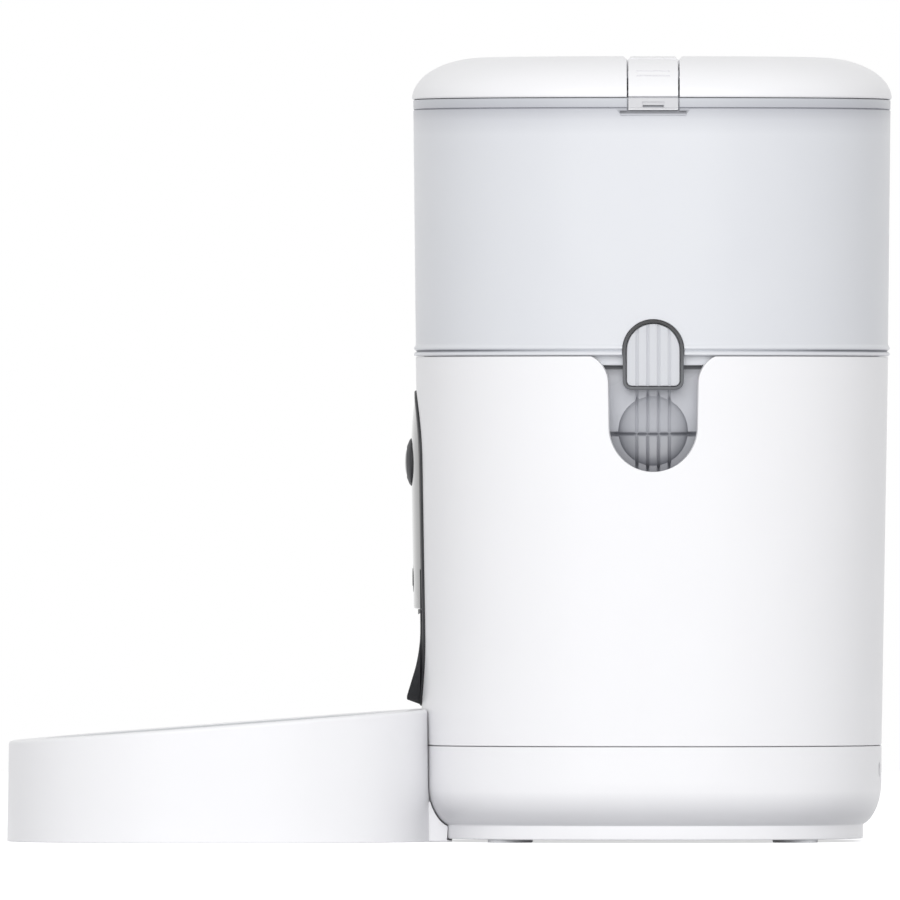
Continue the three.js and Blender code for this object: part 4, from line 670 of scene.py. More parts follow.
def make_reset():
    """The reset button: a dished face, and a flange inside the wall."""
    low, high = room("reset_button")
    middle = middle_of("reset_button")
    face = high.y - 1.2
    flange = high.x - middle.x
    flange_top = low.y + 1.6
    button = turned([
        (0, face - 0.2), (RESET_RADIUS * 0.6, face - 0.2, 0.6), (RESET_RADIUS - 0.1, face, 0.4),
        (RESET_RADIUS, face - 0.8, 0.1), (RESET_RADIUS, flange_top), (flange, flange_top, 0.2),
        (flange, low.y, 0.2), (0, low.y),
    ], 48)
    return facing_back(button, middle)


# Housing: a drawn-in wall with a notch in each side, a hole for the front panel and a grille
NOTCH_HALF = 17.9
NOTCH_FOOT_HALF = 17.4
NOTCH_LOW = 146.2
NOTCH_FLARE = 9.5
NOTCH_TOP = HOUSING_TOP - 0.8
NOTCH_MOUTH = 36
GRILLE_PITCH = 4.4
GRILLE_REACH = 8
PANEL_HALF = 28
PANEL_LOW = room("front_bezel")[0].z
PANEL_TOP = room("front_bezel")[1].z


def notch_outline(outset):
    """The notch, wider by outset, with its sides flared out towards the rim."""
    foot = NOTCH_FOOT_HALF + outset
    side = [
        (NOTCH_MOUTH + outset, HOUSING_TOP + 2.5), (NOTCH_HALF + outset, NOTCH_TOP, NOTCH_FLARE),
        (foot, NOTCH_LOW - outset, foot - FULL),
    ]
    return side + [(-across, *rest) for across, *rest in reversed(side)]


def make_housing():
    """The wall, made flat with its openings and bent round; its ends meet at a back corner."""
    ends = (-0.75 * math.pi * BODY_HALF, 1.25 * math.pi * BODY_HALF)
    wall = block(ends, (0, WALL), (SEAM_HIGH, HOUSING_TOP))
    through = (-OVERRUN, WALL + OVERRUN)
    notch = unrolled(plate(notch_outline(0), *through))
    tools = [moved(notch.copy(), side * QUARTER * BODY_HALF) for side in (-1, 1)]
    notch.free()
    panel = stadium(PANEL_HALF + GAP, PANEL_LOW - GAP, PANEL_TOP + GAP)
    tools.append(unrolled(plate(panel, *through)))
    grille = middle_of("speaker").z
    for i in range(-2, 3):
        slot = plate(stadium(1, grille - GRILLE_REACH, grille + GRILLE_REACH), *through)
        tools.append(moved(slot, math.pi * BODY_HALF + GRILLE_PITCH * i))
    form = combine(wall, tools)
    ends_only = [
        face
        for face in form.faces
        if all(min(abs(spot.co.x - end) for end in ends) < 0.01 for spot in face.verts)
        and abs(face.normal.x) > 0.9
    ]
    bmesh.ops.delete(form, geom=ends_only, context="FACES")
    bent(soften(form, 0.45))
    bmesh.ops.holes_fill(form, edges=form.edges)
    return form


# Finger pockets behind the notches, with grooves down them and a round dent
POCKET_TOP = 186.5
POCKET_LIP_TOP = 189.8
POCKET_FACE = 82.3
POCKET_BACK = 80.3
POCKET_OUTSET = 3.2  # how much wider the pocket's wall is than the notch
HOLLOW_OUTSET = 1.2  # how much wider its hollow is
LIP_HALF = 19
LIP_DEPTH = 5
DENT_HALF = 13.7
DENT_DEPTH = 4
DENT_Z = 162.3
LINE_PITCH = 4.24
LINE_PLACES = [i * LINE_PITCH for i in (-1.5, -0.5, 0.5, 1.5)]
LINE_DEPTH = 0.6
LINE_HALF = 0.75
# painted shade in the V-grooves of the pocket and of the release buttons
LINE_SHADE = 0.3
STEP_Z = 161.1  # height of the line across the pocket
STEP_HALF = 1
STEP_DEPTH = 1.2
# painted shade in the line across the pocket and round its dent's rim
STEP_SHADE = 0.7
DENT_SHADE = 0.8
TIP_SHIFT = 0.03  # keeps the tip of a line's disc off the tip of its straight part


def skin(outset):
    """A solid bounded by the housing's outer face, moved out or in."""
    low, high = (half_at(SEAM) + outset, SEAM), (BODY_HALF + outset, HOUSING_TOP)
    return squared([(0, SEAM), low, high, (0, HOUSING_TOP)])


def flattened(form, depth):
    """Sets a form of the dent's half-width into the pocket's face, flattened to a depth."""
    flat = Matrix.Diagonal((1, depth / DENT_HALF, 1, 1))
    return placed(form, Matrix.Translation((0, -POCKET_FACE, DENT_Z)) @ flat)


def dent(outset):
    """The rounded dent in the pocket's face, or a larger one round it."""
    reach = DENT_HALF + outset
    profile = arc((0, 0), reach, reach, -QUARTER, QUARTER, 32)
    profile[0] = (0, -reach)
    profile[-1] = (0, reach)
    return flattened(placed(turned(profile), FACE_FRONT), DENT_DEPTH)


def dent_line(away, half):
    """A disc with a V-shaped rim, which draws a line in the dent at a distance from its middle."""
    foot = math.sqrt(DENT_HALF**2 - away**2)
    tip = foot + LINE_DEPTH * DENT_HALF / DENT_DEPTH
    return turned([(0, -half), (foot, -half), (tip, 0), (foot, half), (0, half)], 128)


def v_line(low, high, half, depth):
    """An upright cutter for a V-groove in a face at y = 0."""
    cutter = rod(half, low, high, 0.3, 4)
    bmesh.ops.scale(cutter, vec=(1, depth / half, 1), verts=cutter.verts)
    return cutter


def pocket_lines():
    """V-grooves down the pocket's face and across it, which also cross its dent."""
    lines = []
    for x in LINE_PLACES:
        line = v_line(NOTCH_LOW, POCKET_LIP_TOP + 1, LINE_HALF, LINE_DEPTH)
        lines.append(moved(line, x, -POCKET_FACE))
        disc = moved(placed(dent_line(x, LINE_HALF), TO_SIDE), x + TIP_SHIFT)
        lines.append(flattened(disc, DENT_DEPTH))
    line = placed(v_line(*THROUGH, STEP_HALF, STEP_DEPTH), TO_SIDE)
    lines.append(moved(line, 0, -POCKET_FACE, STEP_Z))
    disc = moved(dent_line(DENT_Z - STEP_Z, STEP_HALF * 0.9), z=STEP_Z - DENT_Z)
    lines.append(flattened(disc, DENT_DEPTH))
    return lines


def pocket_shade_at(place):
    """Painted shade in the line across the pocket, and towards the dent's rim at its sides and foot.
    """
    if abs(place.z - STEP_Z) < NEAR:
        return STEP_SHADE if abs(place.x) > DENT_HALF else 1
    if place.y < 0.1 - POCKET_FACE:
        return 0
    out = math.hypot(place.x, place.z - DENT_Z) / DENT_HALF
    return DENT_SHADE * min(1, out) ** 4 * limited((DENT_Z + DENT_HALF - place.z) / DENT_HALF)


def make_pocket():
    """The wall behind a notch, with a bulge behind its dent and a lip over it."""
    body = combine(
        plate(notch_outline(POCKET_OUTSET), -BODY_HALF, -POCKET_BACK),
        [skin(-WALL - GAP), block(centred(60), (-BODY_HALF, 0), (0, POCKET_TOP))],
        "INTERSECT",
    )
    bulge = combine(dent(2), [block(centred(30), (-POCKET_FACE, 0), (100, 200))], "INTERSECT")
    lip_z = (POCKET_TOP - LIP_DEPTH, POCKET_LIP_TOP)
    lip = block(centred(LIP_HALF), (-POCKET_FACE, -POCKET_BACK), lip_z)
    body = combine(body, [bulge, lip], "UNION")
    hollow = plate(notch_outline(HOLLOW_OUTSET), -BODY_HALF - OVERRUN, -POCKET_FACE)
    body = combine(body, [hollow, dent(0), *pocket_lines()])
    return placed(painted_shade_on(painted_shade_in_grooves(body, LINE_SHADE), pocket_shade_at), TO_RIGHT)


# Front panel: raised rim, glossy face plate, camera, light and feed button, and the chute below
PLATE_LOW = room("face_plate")[0].z
CAMERA = middle_of("camera_ring")
FEED = middle_of("feed_button")
LIGHT = middle_of("status_light")
RING_RADIUS = 9.5
FEED_RADIUS = 6.5
LIGHT_RADIUS = 1.6
PLATE_PROUD = 2.5
PLATE_CROWN = 0.9  # share of PLATE_PROUD that the plate loses towards its rim
BEZEL_PROUD = 0.8
BEZEL_RIM = 3
CHUTE_HALF = 24.3
CHUTE_WALL = 2
CHUTE_TOP_CORNER = 4
CHUTE_BACK = -16.7
CHEEK_Y = -91.7
CHEEK_CORNER = (CHEEK_Y, 75, 8)
CHIN_LIFT = 0.6
LIP_Y = -97
LIP_Z = 55.5
DECK_LOW = 107.9
CHUTE_SLOPE = math.atan2(DECK_LOW - GAP - LIP_Z, CHUTE_BACK - LIP_Y)
PLATE_BACK = half_at(PLATE_LOW) - 2
MOUTH_TOP = PLATE_LOW - 0.8 - (-LIP_Y - PLATE_BACK) * math.tan(CHUTE_SLOPE)
CHUTE_DEPTH = (MOUTH_TOP - LIP_Z) * math.cos(CHUTE_SLOPE)
CHUTE_CORNER = 0.69 * CHUTE_DEPTH


def panel_holes():
    """Round holes through the panel for its camera, its button and its light."""
    places = [(RING_RADIUS, CAMERA), (FEED_RADIUS, FEED), (LIGHT_RADIUS, LIGHT)]
    return [facing(rod(radius + GAP, *THROUGH), place) for radius, place in places]


def chute_outline(outset):
    """The chute's section across its slope, standing on its floor."""
    half = CHUTE_HALF + outset
    low = -outset
    high = CHUTE_DEPTH + outset
    corner = CHUTE_CORNER + outset
    top = CHUTE_TOP_CORNER + outset
    return [(half, low, corner), (half, high, top), (-half, high, top), (-half, low, corner)]


def channel(outset):
    form = plate(chute_outline(outset), -150, 150)
    slope = Matrix.Rotation(CHUTE_SLOPE, 4, "X")
    return placed(form, Matrix.Translation((0, LIP_Y, LIP_Z)) @ slope)


def make_bezel():
    """The panel's raised rim, with a seat for the face plate and room for the chute."""
    rim = unrolled(plate(stadium(PANEL_HALF, PANEL_LOW, PANEL_TOP), -BEZEL_PROUD, 5))
    soften(rim, 0.7, 3)
    half = PANEL_HALF - BEZEL_RIM
    top = (PANEL_TOP - BEZEL_RIM, half - FULL)
    outline = [(-half, PLATE_LOW - GAP), (half, PLATE_LOW - GAP), (half, *top), (-half, *top)]
    seat = unrolled(plate(outline, -5, 2 + GAP))
    return combine(bent(combine(rim, [seat, *panel_holes()])), [channel(GAP)])


def make_face_plate():
    """The face plate, crowned towards its middle."""
    half = PANEL_HALF - BEZEL_RIM - GAP
    outline = outlined(half, PLATE_LOW, PANEL_TOP - BEZEL_RIM - GAP, 1.2, half - FULL)
    form = combine(soften(unrolled(plate(outline, -PLATE_PROUD, 2)), 0.4, 3), panel_holes())
    sliced(form, UP, 3)
    sliced(form, ACROSS, 2 * math.pi * BODY_HALF / SHELL_STEPS)
    for spot in form.verts:
        if spot.co.y < 0:
            out = math.hypot(spot.co.x, max(0, spot.co.z - (PANEL_TOP - PANEL_HALF)))
            spot.co.y *= 1 - PLATE_CROWN * (out / PANEL_HALF) ** 2
    return bent(form)


def make_camera_ring():
    low, high = room("camera_ring")
    face = -low.y - 1.8
    ring = turned([
        (5.6, -high.y), (RING_RADIUS, -high.y), (RING_RADIUS, face, 0.2),
        (8.9, face + 0.6, 0.6), (7, face + 1.4, 0.8), (5.9, face + 1.8, 0.3),
        (5.6, face + 1.2, 0.2),
    ])
    return facing(ring, CAMERA)


def make_camera_window():
    low, high = room("camera_window")
    radius = high.x
    bulge = 1
    curve = arc((0, -low.y - bulge), radius, bulge, 0, QUARTER)[:-1]
    dome = turned([(0, -high.y), (radius, -high.y), *curve, (0, -low.y)])
    return facing(dome, CAMERA)


def make_camera_barrel():
    """The lens barrel, stepped inwards to a bulging lens."""
    low, high = room("camera_barrel")
    front = -low.y
    barrel = turned([
        (0, -high.y), (high.x, -high.y, 0.3), (high.x, front, 0.2), (4.4, front, 0.1),
        (4.2, front - 0.8), (3.5, front - 0.8, 0.1), (3.3, front - 1.6), (2.6, front - 1.6),
        (2.4, front - 1.2, 0.4), (0, front - 0.6),
    ])
    return facing(barrel, CAMERA)


def make_feed_button():
    """The feed button, with a plain raised ring as its mark."""
    low, high = room("feed_button")
    face = -low.y
    button = turned([
        (0, -high.y), (high.x, -high.y), (high.x, face - 0.2, 0.4),
        (high.x - 0.8, face - 0.3, 0.3), (3.7, face - 0.3), (3.5, face, 0.1), (2.9, face, 0.1),
        (2.7, face - 0.3), (0, face - 0.35),
    ])
    return facing(button, FEED)


def make_light():
    low, high = room("status_light")
    pipe = turned([(0, -high.y), (high.x, -high.y), (high.x, -low.y, 0.5), (0, -low.y)], 32)
    return facing(pipe, LIGHT)


def make_chute():
    """A hollow channel down the slope, with swept cheeks and a chin that fills the panel's foot."""
    face = half_at(LIP_Z) + BEZEL_PROUD - 0.4
    foot = PANEL_LOW + CHIN_LIFT
    side = [
        (LIP_Y, LIP_Z + CHIN_LIFT), (-face, foot), (0, foot), (0, DECK_LOW - GAP),
        (CHEEK_Y, DECK_LOW - GAP), CHEEK_CORNER, (LIP_Y, LIP_Z + CHUTE_WALL),
    ]
    envelope = placed(plate(side, -PANEL_HALF, PANEL_HALF), TO_RIGHT)
    chin = plate(stadium(CHUTE_HALF, PANEL_LOW, PANEL_TOP), LIP_Y - OVERRUN, -face)
    form = combine(combine(channel(0), [chin], "UNION"), [channel(-CHUTE_WALL)])
    return soften(combine(form, [envelope], "INTERSECT"), 0.3)


# Hopper: a milky bin on a thin flange, with release buttons in arched frames
HOPPER_WALL = 2.3
FLANGE_LOW = HOUSING_TOP + GAP
FLANGE_TOP = 195.6
FLANGE_HALF = 94.2
FLANGE_LINE = FLANGE_LOW + 1.9
FLANGE_FADE = 70  # how far from the middle of a side the painted shade in the flange's line is full
RIM_TOP = LID_LOW - GAP
RIM_HALF = 94.5
RIM_LINE = 289.4
FUNNEL_HALF = 80
COLLAR_HALF = BODY_HALF - WALL - 0.8
COLLAR_DEPTH = 3.9
ARCH_HALF = 12
ARCH_LOW = 178.4
ARCH_TOP = 206
ARCH_CORNER = 3.6
FRAME_WALL = 1.25
FRAME_BACK = 90.3
FRAME_FRONT = 94.2
KEY_BACK = 88
KEY_RIM = 0.9  # the key's flange, and the well that holds it, stay this far inside the arch
# painted shade over the whole release button, set back in its frame
KEY_SHADE = 0.2
WELL_FLOOR = 85.3
WELL_WALL = 1.9
LATCH_HALF = 9.8
LATCH_GAP = 0.6
TAB_WALL = 1.6
TAB_LOW = 288.5
LEDGE_HALF = 13
LEDGE_TOP = TAB_LOW - 1.2
LEDGE_LOW = TAB_LOW - 2
# painted shade in the hopper's rim line and in the slots under the latches
RIM_SHADE = 0.5
SLOT_SHADE = 0.7


def arch(outset, near, far):
    """The release button's arched outline, pushed in from one distance to another."""
    half = ARCH_HALF + outset
    corner = max(0.4, ARCH_CORNER + outset)
    outline = outlined(half, ARCH_LOW - outset, ARCH_TOP + outset, corner, half - FULL)
    return placed(plate(outline, -near, -far), TO_RIGHT)


def hopper_shade_at(place):
    """Painted shade in the grooves at the hopper's rim and foot, where the foot's fades towards the
    middle of its left and right sides, and in the slots under the latches.
    """
    if abs(place.z - FLANGE_LINE) < NEAR:
        return min(1, abs(place.y) / FLANGE_FADE) ** 2 if abs(place.x) > abs(place.y) else 1
    if abs(place.z - RIM_LINE) < NEAR:
        return RIM_SHADE
    in_slot = abs(place.y) < LEDGE_HALF + 0.1 and abs(place.x) > RIM_HALF - HOPPER_WALL
    return SLOT_SHADE if in_slot and LEDGE_TOP - 0.5 < place.z < LEDGE_TOP + 1 else 0


def make_hopper():
    """The bin, with a grooved rim and flange, and wells and ledges for what it holds."""
    inner = COLLAR_HALF - HOPPER_WALL
    collar_low = FLANGE_LOW - COLLAR_DEPTH
    rim = RIM_HALF - 0.05
    shell = squared([
        (FUNNEL_HALF - HOPPER_WALL, FLANGE_LOW), (inner, FLANGE_LOW), (inner, collar_low, 0.4),
        (COLLAR_HALF, collar_low, 0.4), (COLLAR_HALF, FLANGE_LOW),
        (FLANGE_HALF, FLANGE_LOW, 0.6), (FLANGE_HALF, FLANGE_LINE - 0.8, 0.3),
        (FLANGE_HALF - 1.2, FLANGE_LINE), (FLANGE_HALF, FLANGE_LINE + 0.8, 0.3),
        (FLANGE_HALF, FLANGE_TOP, 1), (BODY_HALF, FLANGE_TOP + 0.8, 0.5),
        (rim, RIM_LINE - 0.35), (rim - 0.5, RIM_LINE), (rim, RIM_LINE + 0.35),
        (RIM_HALF, RIM_TOP, 0.5), (RIM_HALF - HOPPER_WALL, RIM_TOP, 0.5),
        (BODY_HALF - HOPPER_WALL, FLANGE_LOW + 8.3, 4),
        (FUNNEL_HALF - HOPPER_WALL, FLANGE_LOW + HOPPER_WALL, 1),
    ])
    side = block((0, BODY_HALF), centred(BODY_HALF), (FLANGE_LOW + 0.2, LID_LOW))
    well_back = WELL_FLOOR - WELL_WALL
    well = arch(WELL_WALL, BODY_HALF - HOPPER_WALL / 2, well_back)
    well = combine(well, [side], "INTERSECT")
    well = combine(well, [arch(0, FRAME_BACK - GAP, well_back)], "UNION")
    hollow = arch(GAP - KEY_RIM, FRAME_BACK + OVERRUN, WELL_FLOOR)
    hollow = combine(hollow, [arch(GAP, LID_HALF + OVERRUN, FRAME_BACK - GAP)], "UNION")
    seat_x = (LID_HALF - TAB_WALL - GAP, LID_HALF + OVERRUN)
    seat = block(seat_x, centred(LATCH_HALF + LATCH_GAP), (TAB_LOW - 1, LID_LOW + OVERRUN))
    slot = block(seat_x, centred(LEDGE_HALF), (LEDGE_TOP, TAB_LOW - GAP))
    seat = combine(seat, [slot], "UNION")
    ledge_x = (RIM_HALF - HOPPER_WALL / 2, room("hopper")[1].x)
    ledge = block(ledge_x, centred(LEDGE_HALF), (LEDGE_LOW, LEDGE_TOP), 0.2)
    form = combine(shell, [*both_sides(well), *both_sides(ledge)], "UNION")
    return painted_shade_on(combine(form, [*both_sides(hollow), *both_sides(seat)]), hopper_shade_at)


def make_funnel():
    low, high = room("funnel")
    foot = 46
    return squared([
        (foot, low.z, 0.5), (FUNNEL_HALF, high.z - 2, 2), (FUNNEL_HALF, high.z, 0.5),
        (FUNNEL_HALF - HOPPER_WALL, high.z, 0.5), (FUNNEL_HALF - HOPPER_WALL, high.z - 2, 1.5),
        (foot - HOPPER_WALL, low.z, 0.5),
    ])


def make_frame():
    opening = arch(-FRAME_WALL, FRAME_FRONT + 1, FRAME_BACK - 1)
    return soften(combine(arch(0, FRAME_FRONT, FRAME_BACK), [opening]), 0.3)


def make_button():
    """The release button: four grooves down its face, and a flange behind the frame."""
    face = FRAME_FRONT - 0.8
    key = soften(arch(-FRAME_WALL - GAP, face, KEY_BACK + 1), 0.4)
    groove = placed(v_line(ARCH_LOW - 5, ARCH_TOP + 5, LINE_HALF, LINE_DEPTH), TO_RIGHT)
    grooves = [moved(groove.copy(), face, y) for y in LINE_PLACES]
    groove.free()
    key = combine(key, grooves)
    flange = soften(arch(-KEY_RIM, KEY_BACK + 2, KEY_BACK), 0.3)
    key = combine(key, [flange], "UNION")
    # painted shade over the whole key, more in its grooves
    return painted_shade_on(painted_shade_in_grooves(key, KEY_SHADE + LINE_SHADE), lambda place: KEY_SHADE)


# Lid: a domed cover, an inner plate with a skirt and a seal, and two latches
EDGE_REACH = 28
LID_WALL = 2.4
LATCH_REACH = 17
LATCH_SWING = 2.7  # room behind a latch for it to turn in
LATCH_WALL = 2.2
# painted shade on a latch's tab, below the lid's edge
TAB_SHADE = 0.45
TAB_LINE = 289.2
# painted shade in a latch's seam line and tab line
SEAM_SHADE = 0.6
WINDOW_LOW = 289.6
WINDOW_TOP = 291.8
WINDOW_SLOT = 290.5
EAR = 3
LATCH_CURVE = slice(1, 17)  # the part of the dome's edge that a latch carries on
TOP_GROOVE = 1.6
# painted shade in a latch's grip lines
GRIP_SHADE = 0.15
GRIP_HALF = 6.5
GRIP_HEIGHTS = (302, 303.9)
PIN = middle_of("latch_pin_right")
PIN_HOLE = 1.2
PLATE_TOP = room("lid_inner_plate")[1].z
SKIRT_HALF = 89.6


def dome_edge(inset):
    """The lid's rounded edge, from its side up to its flat top."""
    centre = (LID_HALF - EDGE_REACH, LID_LOW)
    return arc(centre, EDGE_REACH - inset, LID_TOP - LID_LOW - inset, 0, QUARTER, 20)


def dome(inset, low):
    """A solid under the lid's top, moved in."""
    side = [(0, low), (LID_HALF - inset, low), *dome_edge(inset)[:-1]]
    return squared([*side, (LID_HALF - EDGE_REACH, LID_TOP - inset), (0, LID_TOP - inset)])


def top_grooves():
    """Two V-grooves that carry the sides of the latches on over the lid's top."""
    across = LATCH_HALF + LATCH_GAP / 2
    mouth = LID_TOP + 0.1
    grooves = []
    for y in (-across, across):
        section = [(y - TOP_GROOVE, mouth), (y, LID_TOP - TOP_GROOVE), (y + TOP_GROOVE, mouth)]
        grooves.append(placed(plate(section, -LID_HALF, LID_HALF), TO_RIGHT))
    return grooves


def make_lid():
    """The domed cover, with a slot, ears and a pin hole for each latch."""
    inner = [(0, LID_TOP - LID_WALL), *reversed(dome_edge(LID_WALL)), (LID_HALF - LID_WALL, LID_LOW)]
    edge = [(LID_HALF - 0.5, LID_LOW), (LID_HALF, LID_LOW + 0.5), *dome_edge(0)[1:]]
    shell = squared([*inner, *edge, (0, LID_TOP)])
    slot_half = LATCH_HALF + LATCH_GAP
    slot_x = LID_HALF - LATCH_REACH - LATCH_SWING
    slot = block((slot_x, LID_HALF + 5), centred(slot_half), (LID_LOW - 5, LID_TOP + 5))
    ears = block((slot_x - EAR, LID_HALF), centred(slot_half + EAR), (PLATE_TOP + 1, LID_TOP))
    ears = combine(ears, [dome(1.2, LID_LOW)], "INTERSECT")
    pin_end = slot_half + EAR - GAP
    pin_hole = facing(rod(PIN_HOLE, -pin_end, pin_end), PIN)
    form = combine(shell, both_sides(ears), "UNION")
    form = combine(form, [*both_sides(slot), *both_sides(pin_hole)])
    return combine(soften(form, 0.2, 2, STEEP), top_grooves())


def latch_shade_at(place):
    """Painted shade in the latch's lines and on its boss's ends, and on its tab below the lid's edge.
    """
    if abs(place.y) > LATCH_HALF + NEAR:
        return 1
    if min(abs(place.z - height) for height in GRIP_HEIGHTS) < NEAR:
        return GRIP_SHADE
    if min(abs(place.z - LID_LOW), abs(place.z - TAB_LINE)) < NEAR:
        return SEAM_SHADE
    return TAB_SHADE if TAB_LINE < place.z < LID_LOW else 0


def make_latch():
    """A latch that carries on the dome, with two grip lines, a seam line and a catch window."""
    outer = [
        (LID_HALF, TAB_LOW, 0.4), (LID_HALF, LID_LOW - 0.45), (LID_HALF - 0.9, LID_LOW),
        (LID_HALF, LID_LOW + 0.45), *dome_edge(0)[LATCH_CURVE],
    ]
    inner = [
        *reversed(dome_edge(LATCH_WALL)[LATCH_CURVE]), (LID_HALF - LATCH_WALL, LID_LOW + 2),
        (LID_HALF - TAB_WALL, LID_LOW), (LID_HALF - TAB_WALL, TAB_LOW, 0.4),
    ]
    strip_x = (LID_HALF - LATCH_REACH, LID_HALF + 1)
    strip = block(strip_x, centred(LATCH_HALF), (TAB_LOW - 1, LID_TOP + 1))
    form = soften(combine(squared([*outer, *inner]), [strip], "INTERSECT"), 0.2, 2, STEEP)
    boss_end = LATCH_HALF + LATCH_GAP - 0.2
    boss = facing(rod(2.6, -boss_end, boss_end), PIN)
    wing = block((PIN.x - 2, LID_HALF), centred(LATCH_HALF - 0.1), (PLATE_TOP + 1, LID_TOP))
    wing = combine(dome(LATCH_WALL / 2, LID_LOW), [wing], "INTERSECT")
    form = combine(form, [boss, wing], "UNION")
    marks = []
    for height in GRIP_HEIGHTS:
        across = math.sqrt(1 - ((height - LID_LOW) / (LID_TOP - LID_LOW)) ** 2)
        line = placed(rod(0.6, -GRIP_HALF, GRIP_HALF, 0.1, 4), FACE_FRONT)
        marks.append(moved(line, LID_HALF - EDGE_REACH * (1 - across), 0, height))
    line = placed(rod(0.3, *THROUGH, 0.1, 4), FACE_FRONT)
    marks.append(moved(line, LID_HALF, 0, TAB_LINE))
    window = block((LID_HALF - 0.5, LID_HALF + 1), centred(4.4), (WINDOW_LOW, WINDOW_TOP), 0.1)
    slot = block((LID_HALF - 3, LID_HALF + 1), centred(4.1), (WINDOW_LOW, WINDOW_SLOT), 0.1)
    pin_hole = facing(rod(PIN_HOLE, *THROUGH), PIN)
    form = combine(form, [*marks, window, slot, pin_hole, *top_grooves()])
    return painted_shade_on(form, latch_shade_at)


def make_pin(node):
    low, high = room(node)
    middle = middle_of(node)
    return facing(rod(high.z - middle.z, low.y, high.y, 0.2, 24), middle)


def plate_shade_at(place):
    """Shade on the skirt where it stands behind a latch."""
    return 1 if abs(place.x) > SKIRT_HALF and abs(place.y) < LATCH_HALF + 4 else 0


def make_inner_plate():
    low, high = room("lid_inner_plate")
    under = 294.5
    inner = SKIRT_HALF - 2
    foot = SKIRT_HALF + 1.7
    form = squared([
        (0, under), (inner, under, 1), (inner, low.z, 0.6), (foot, low.z, 0.5),
        (foot, low.z + 1.3, 0.3), (SKIRT_HALF, low.z + 1.3), (SKIRT_HALF, under),
        (high.x, under, 0.4), (high.x, high.z, 0.4), (0, high.z),
    ])
    return painted_shade_on(form, plate_shade_at)


def make_seal():
    """The lid's seal, with three soft lips round it."""
    low, high = room("lid_seal")
    inner = high.x - 2
    lips = []
    for i in range(3):
        foot = low.z + (high.z - low.z) * i / 3
        lips += [(high.x - 0.6, foot + 0.1), (high.x, foot + 0.8, 0.4), (high.x - 0.6, foot + 1.4)]
    return squared([(inner, low.z, 0.3), *lips, (inner, high.z, 0.3)])


def make_dryer_box():
    low, high = room("desiccant_box")
    inner = high.x - 2
    return turned([
        (0, high.z - 2), (inner, high.z - 2, 1), (inner, low.z, 0.5), (high.x, low.z, 0.5),
        (high.x, high.z, 0.6), (0, high.z),
    ], 96)


def make_dryer_cap():
    """The turning cap, with a raised ring, a grip across it and eight vents."""
    low, high = room("desiccant_cap")
    disc_low = low.z + 5
    disc_top = disc_low + 2.6
    radius = high.x
    disc = turned([
        (0, disc_low), (radius, disc_low, 0.8), (radius, disc_top, 0.3),
        (radius - 2.3, disc_top), (radius - 2.3, high.z, 0.4), (radius - 4.3, high.z, 0.4),
        (radius - 4.3, disc_top, 0.6), (0, disc_top),
    ], 96)
    grip = block(centred(11), centred(1.5), (low.z, disc_low + 1), 0.6)
    vents = []
    for i in range(8):
        vent = placed(plate(stadium(1.7, 15, 26), -5, 5), Matrix.Rotation(-QUARTER, 4, "X"))
        turn = Matrix.Rotation(2 * math.pi * (i + 0.5) / 8, 4, "Z")
        vents.append(placed(vent, turn @ Matrix.Translation((0, 0, disc_low))))
    return combine(combine(disc, [grip], "UNION"), vents)


# Rotor housing, rotor and stirrer, which lift out with the hopper
def make_rotor_housing():
    """A round drum, with a baffle over its outlet and a hole for the spindle."""
    low, high = room("rotor_housing")
    radius = high.x
    drum = turned([
        (0, low.z), (radius, low.z, 1), (radius, high.z, 0.5), (radius - 2.5, high.z, 0.5),
        (radius - 2.5, low.z + 3, 1), (0, low.z + 3),
    ], 128)
    baffle = rod(radius - 1.2, high.z - 4, high.z - 2.2, 0.3, 128)
    part = block(centred(24), (-radius, -12.6), (low.z, high.z))
    baffle = combine(baffle, [part], "INTERSECT")
    through = (low.z - OVERRUN, low.z + 5)
    outlet = block(centred(17), (-43, -20), through, 0.8)
    return combine(combine(drum, [baffle], "UNION"), [outlet, rod(7.87, *through)])


def make_rotor():
    """A soft six-blade rotor whose blades run into a round hub."""
    low, high = room("rotor")
    hub = rod(11, low.z, high.z, 0.8)
    blades = []
    for i in range(6):
        blade = block((5, high.x), centred(1.3), (low.z, high.z - 4), 0.6)
        blades.append(placed(blade, Matrix.Rotation(i * math.pi / 3, 4, "Z")))
    form = combine(hub, blades, "UNION")
    socket = block(centred(5.3), centred(5.3), (low.z - OVERRUN, low.z + 14))
    return combine(form, [socket, rod(4.3, high.z - 6.3, high.z + OVERRUN)])


def make_stirrer():
    """A disc with an arm, and a finger that stands up at the arm's end."""
    low, high = room("stirrer")
    disc_low = high.z - 14
    disc_top = disc_low + 3
    disc = rod(10.2, disc_low, disc_top, 0.8)
    arm = block((-4, high.x), centred(1.5), (disc_low, disc_top), 0.6)
    finger = block((high.x - 3, high.x), centred(1.5), (disc_low, high.z), 0.6)
    return combine(disc, [arm, finger, rod(4, low.z, disc_low + 2)], "UNION")


# Tray with a sloping top, and the bowl that hangs in it
TRAY_LOW, TRAY_HIGH = room("food_tray")
TRAY_HALF = TRAY_HIGH.x
TRAY_LENGTH_HALF = 85.15
TRAY_Y = TRAY_LOW.y + TRAY_LENGTH_HALF
TRAY_FRONT_TOP = 39.6
TRAY_BACK_TOP = 52.7
TRAY_WALL = 2.6
TRAY_GAP = 0.6
BOWL_HALF = 70
BOWL_WALL_HALF = 66
STEEL = 1.2
RECESS = 1.8
BOWL_DEPTH = 32
TONGUE_HALF = 32
TONGUE_TOP = 16
TONGUE_FRONT = -BASE_HALF - 9
TALL = 120  # higher than the tray
TRAY_RISE = (TRAY_BACK_TOP - TRAY_FRONT_TOP) / (2 * TRAY_LENGTH_HALF)
ON_TRAY = Matrix.Translation(
    (0, TRAY_Y, TRAY_FRONT_TOP + TRAY_LENGTH_HALF * TRAY_RISE)
) @ Matrix.Rotation(math.atan(TRAY_RISE), 4, "X")


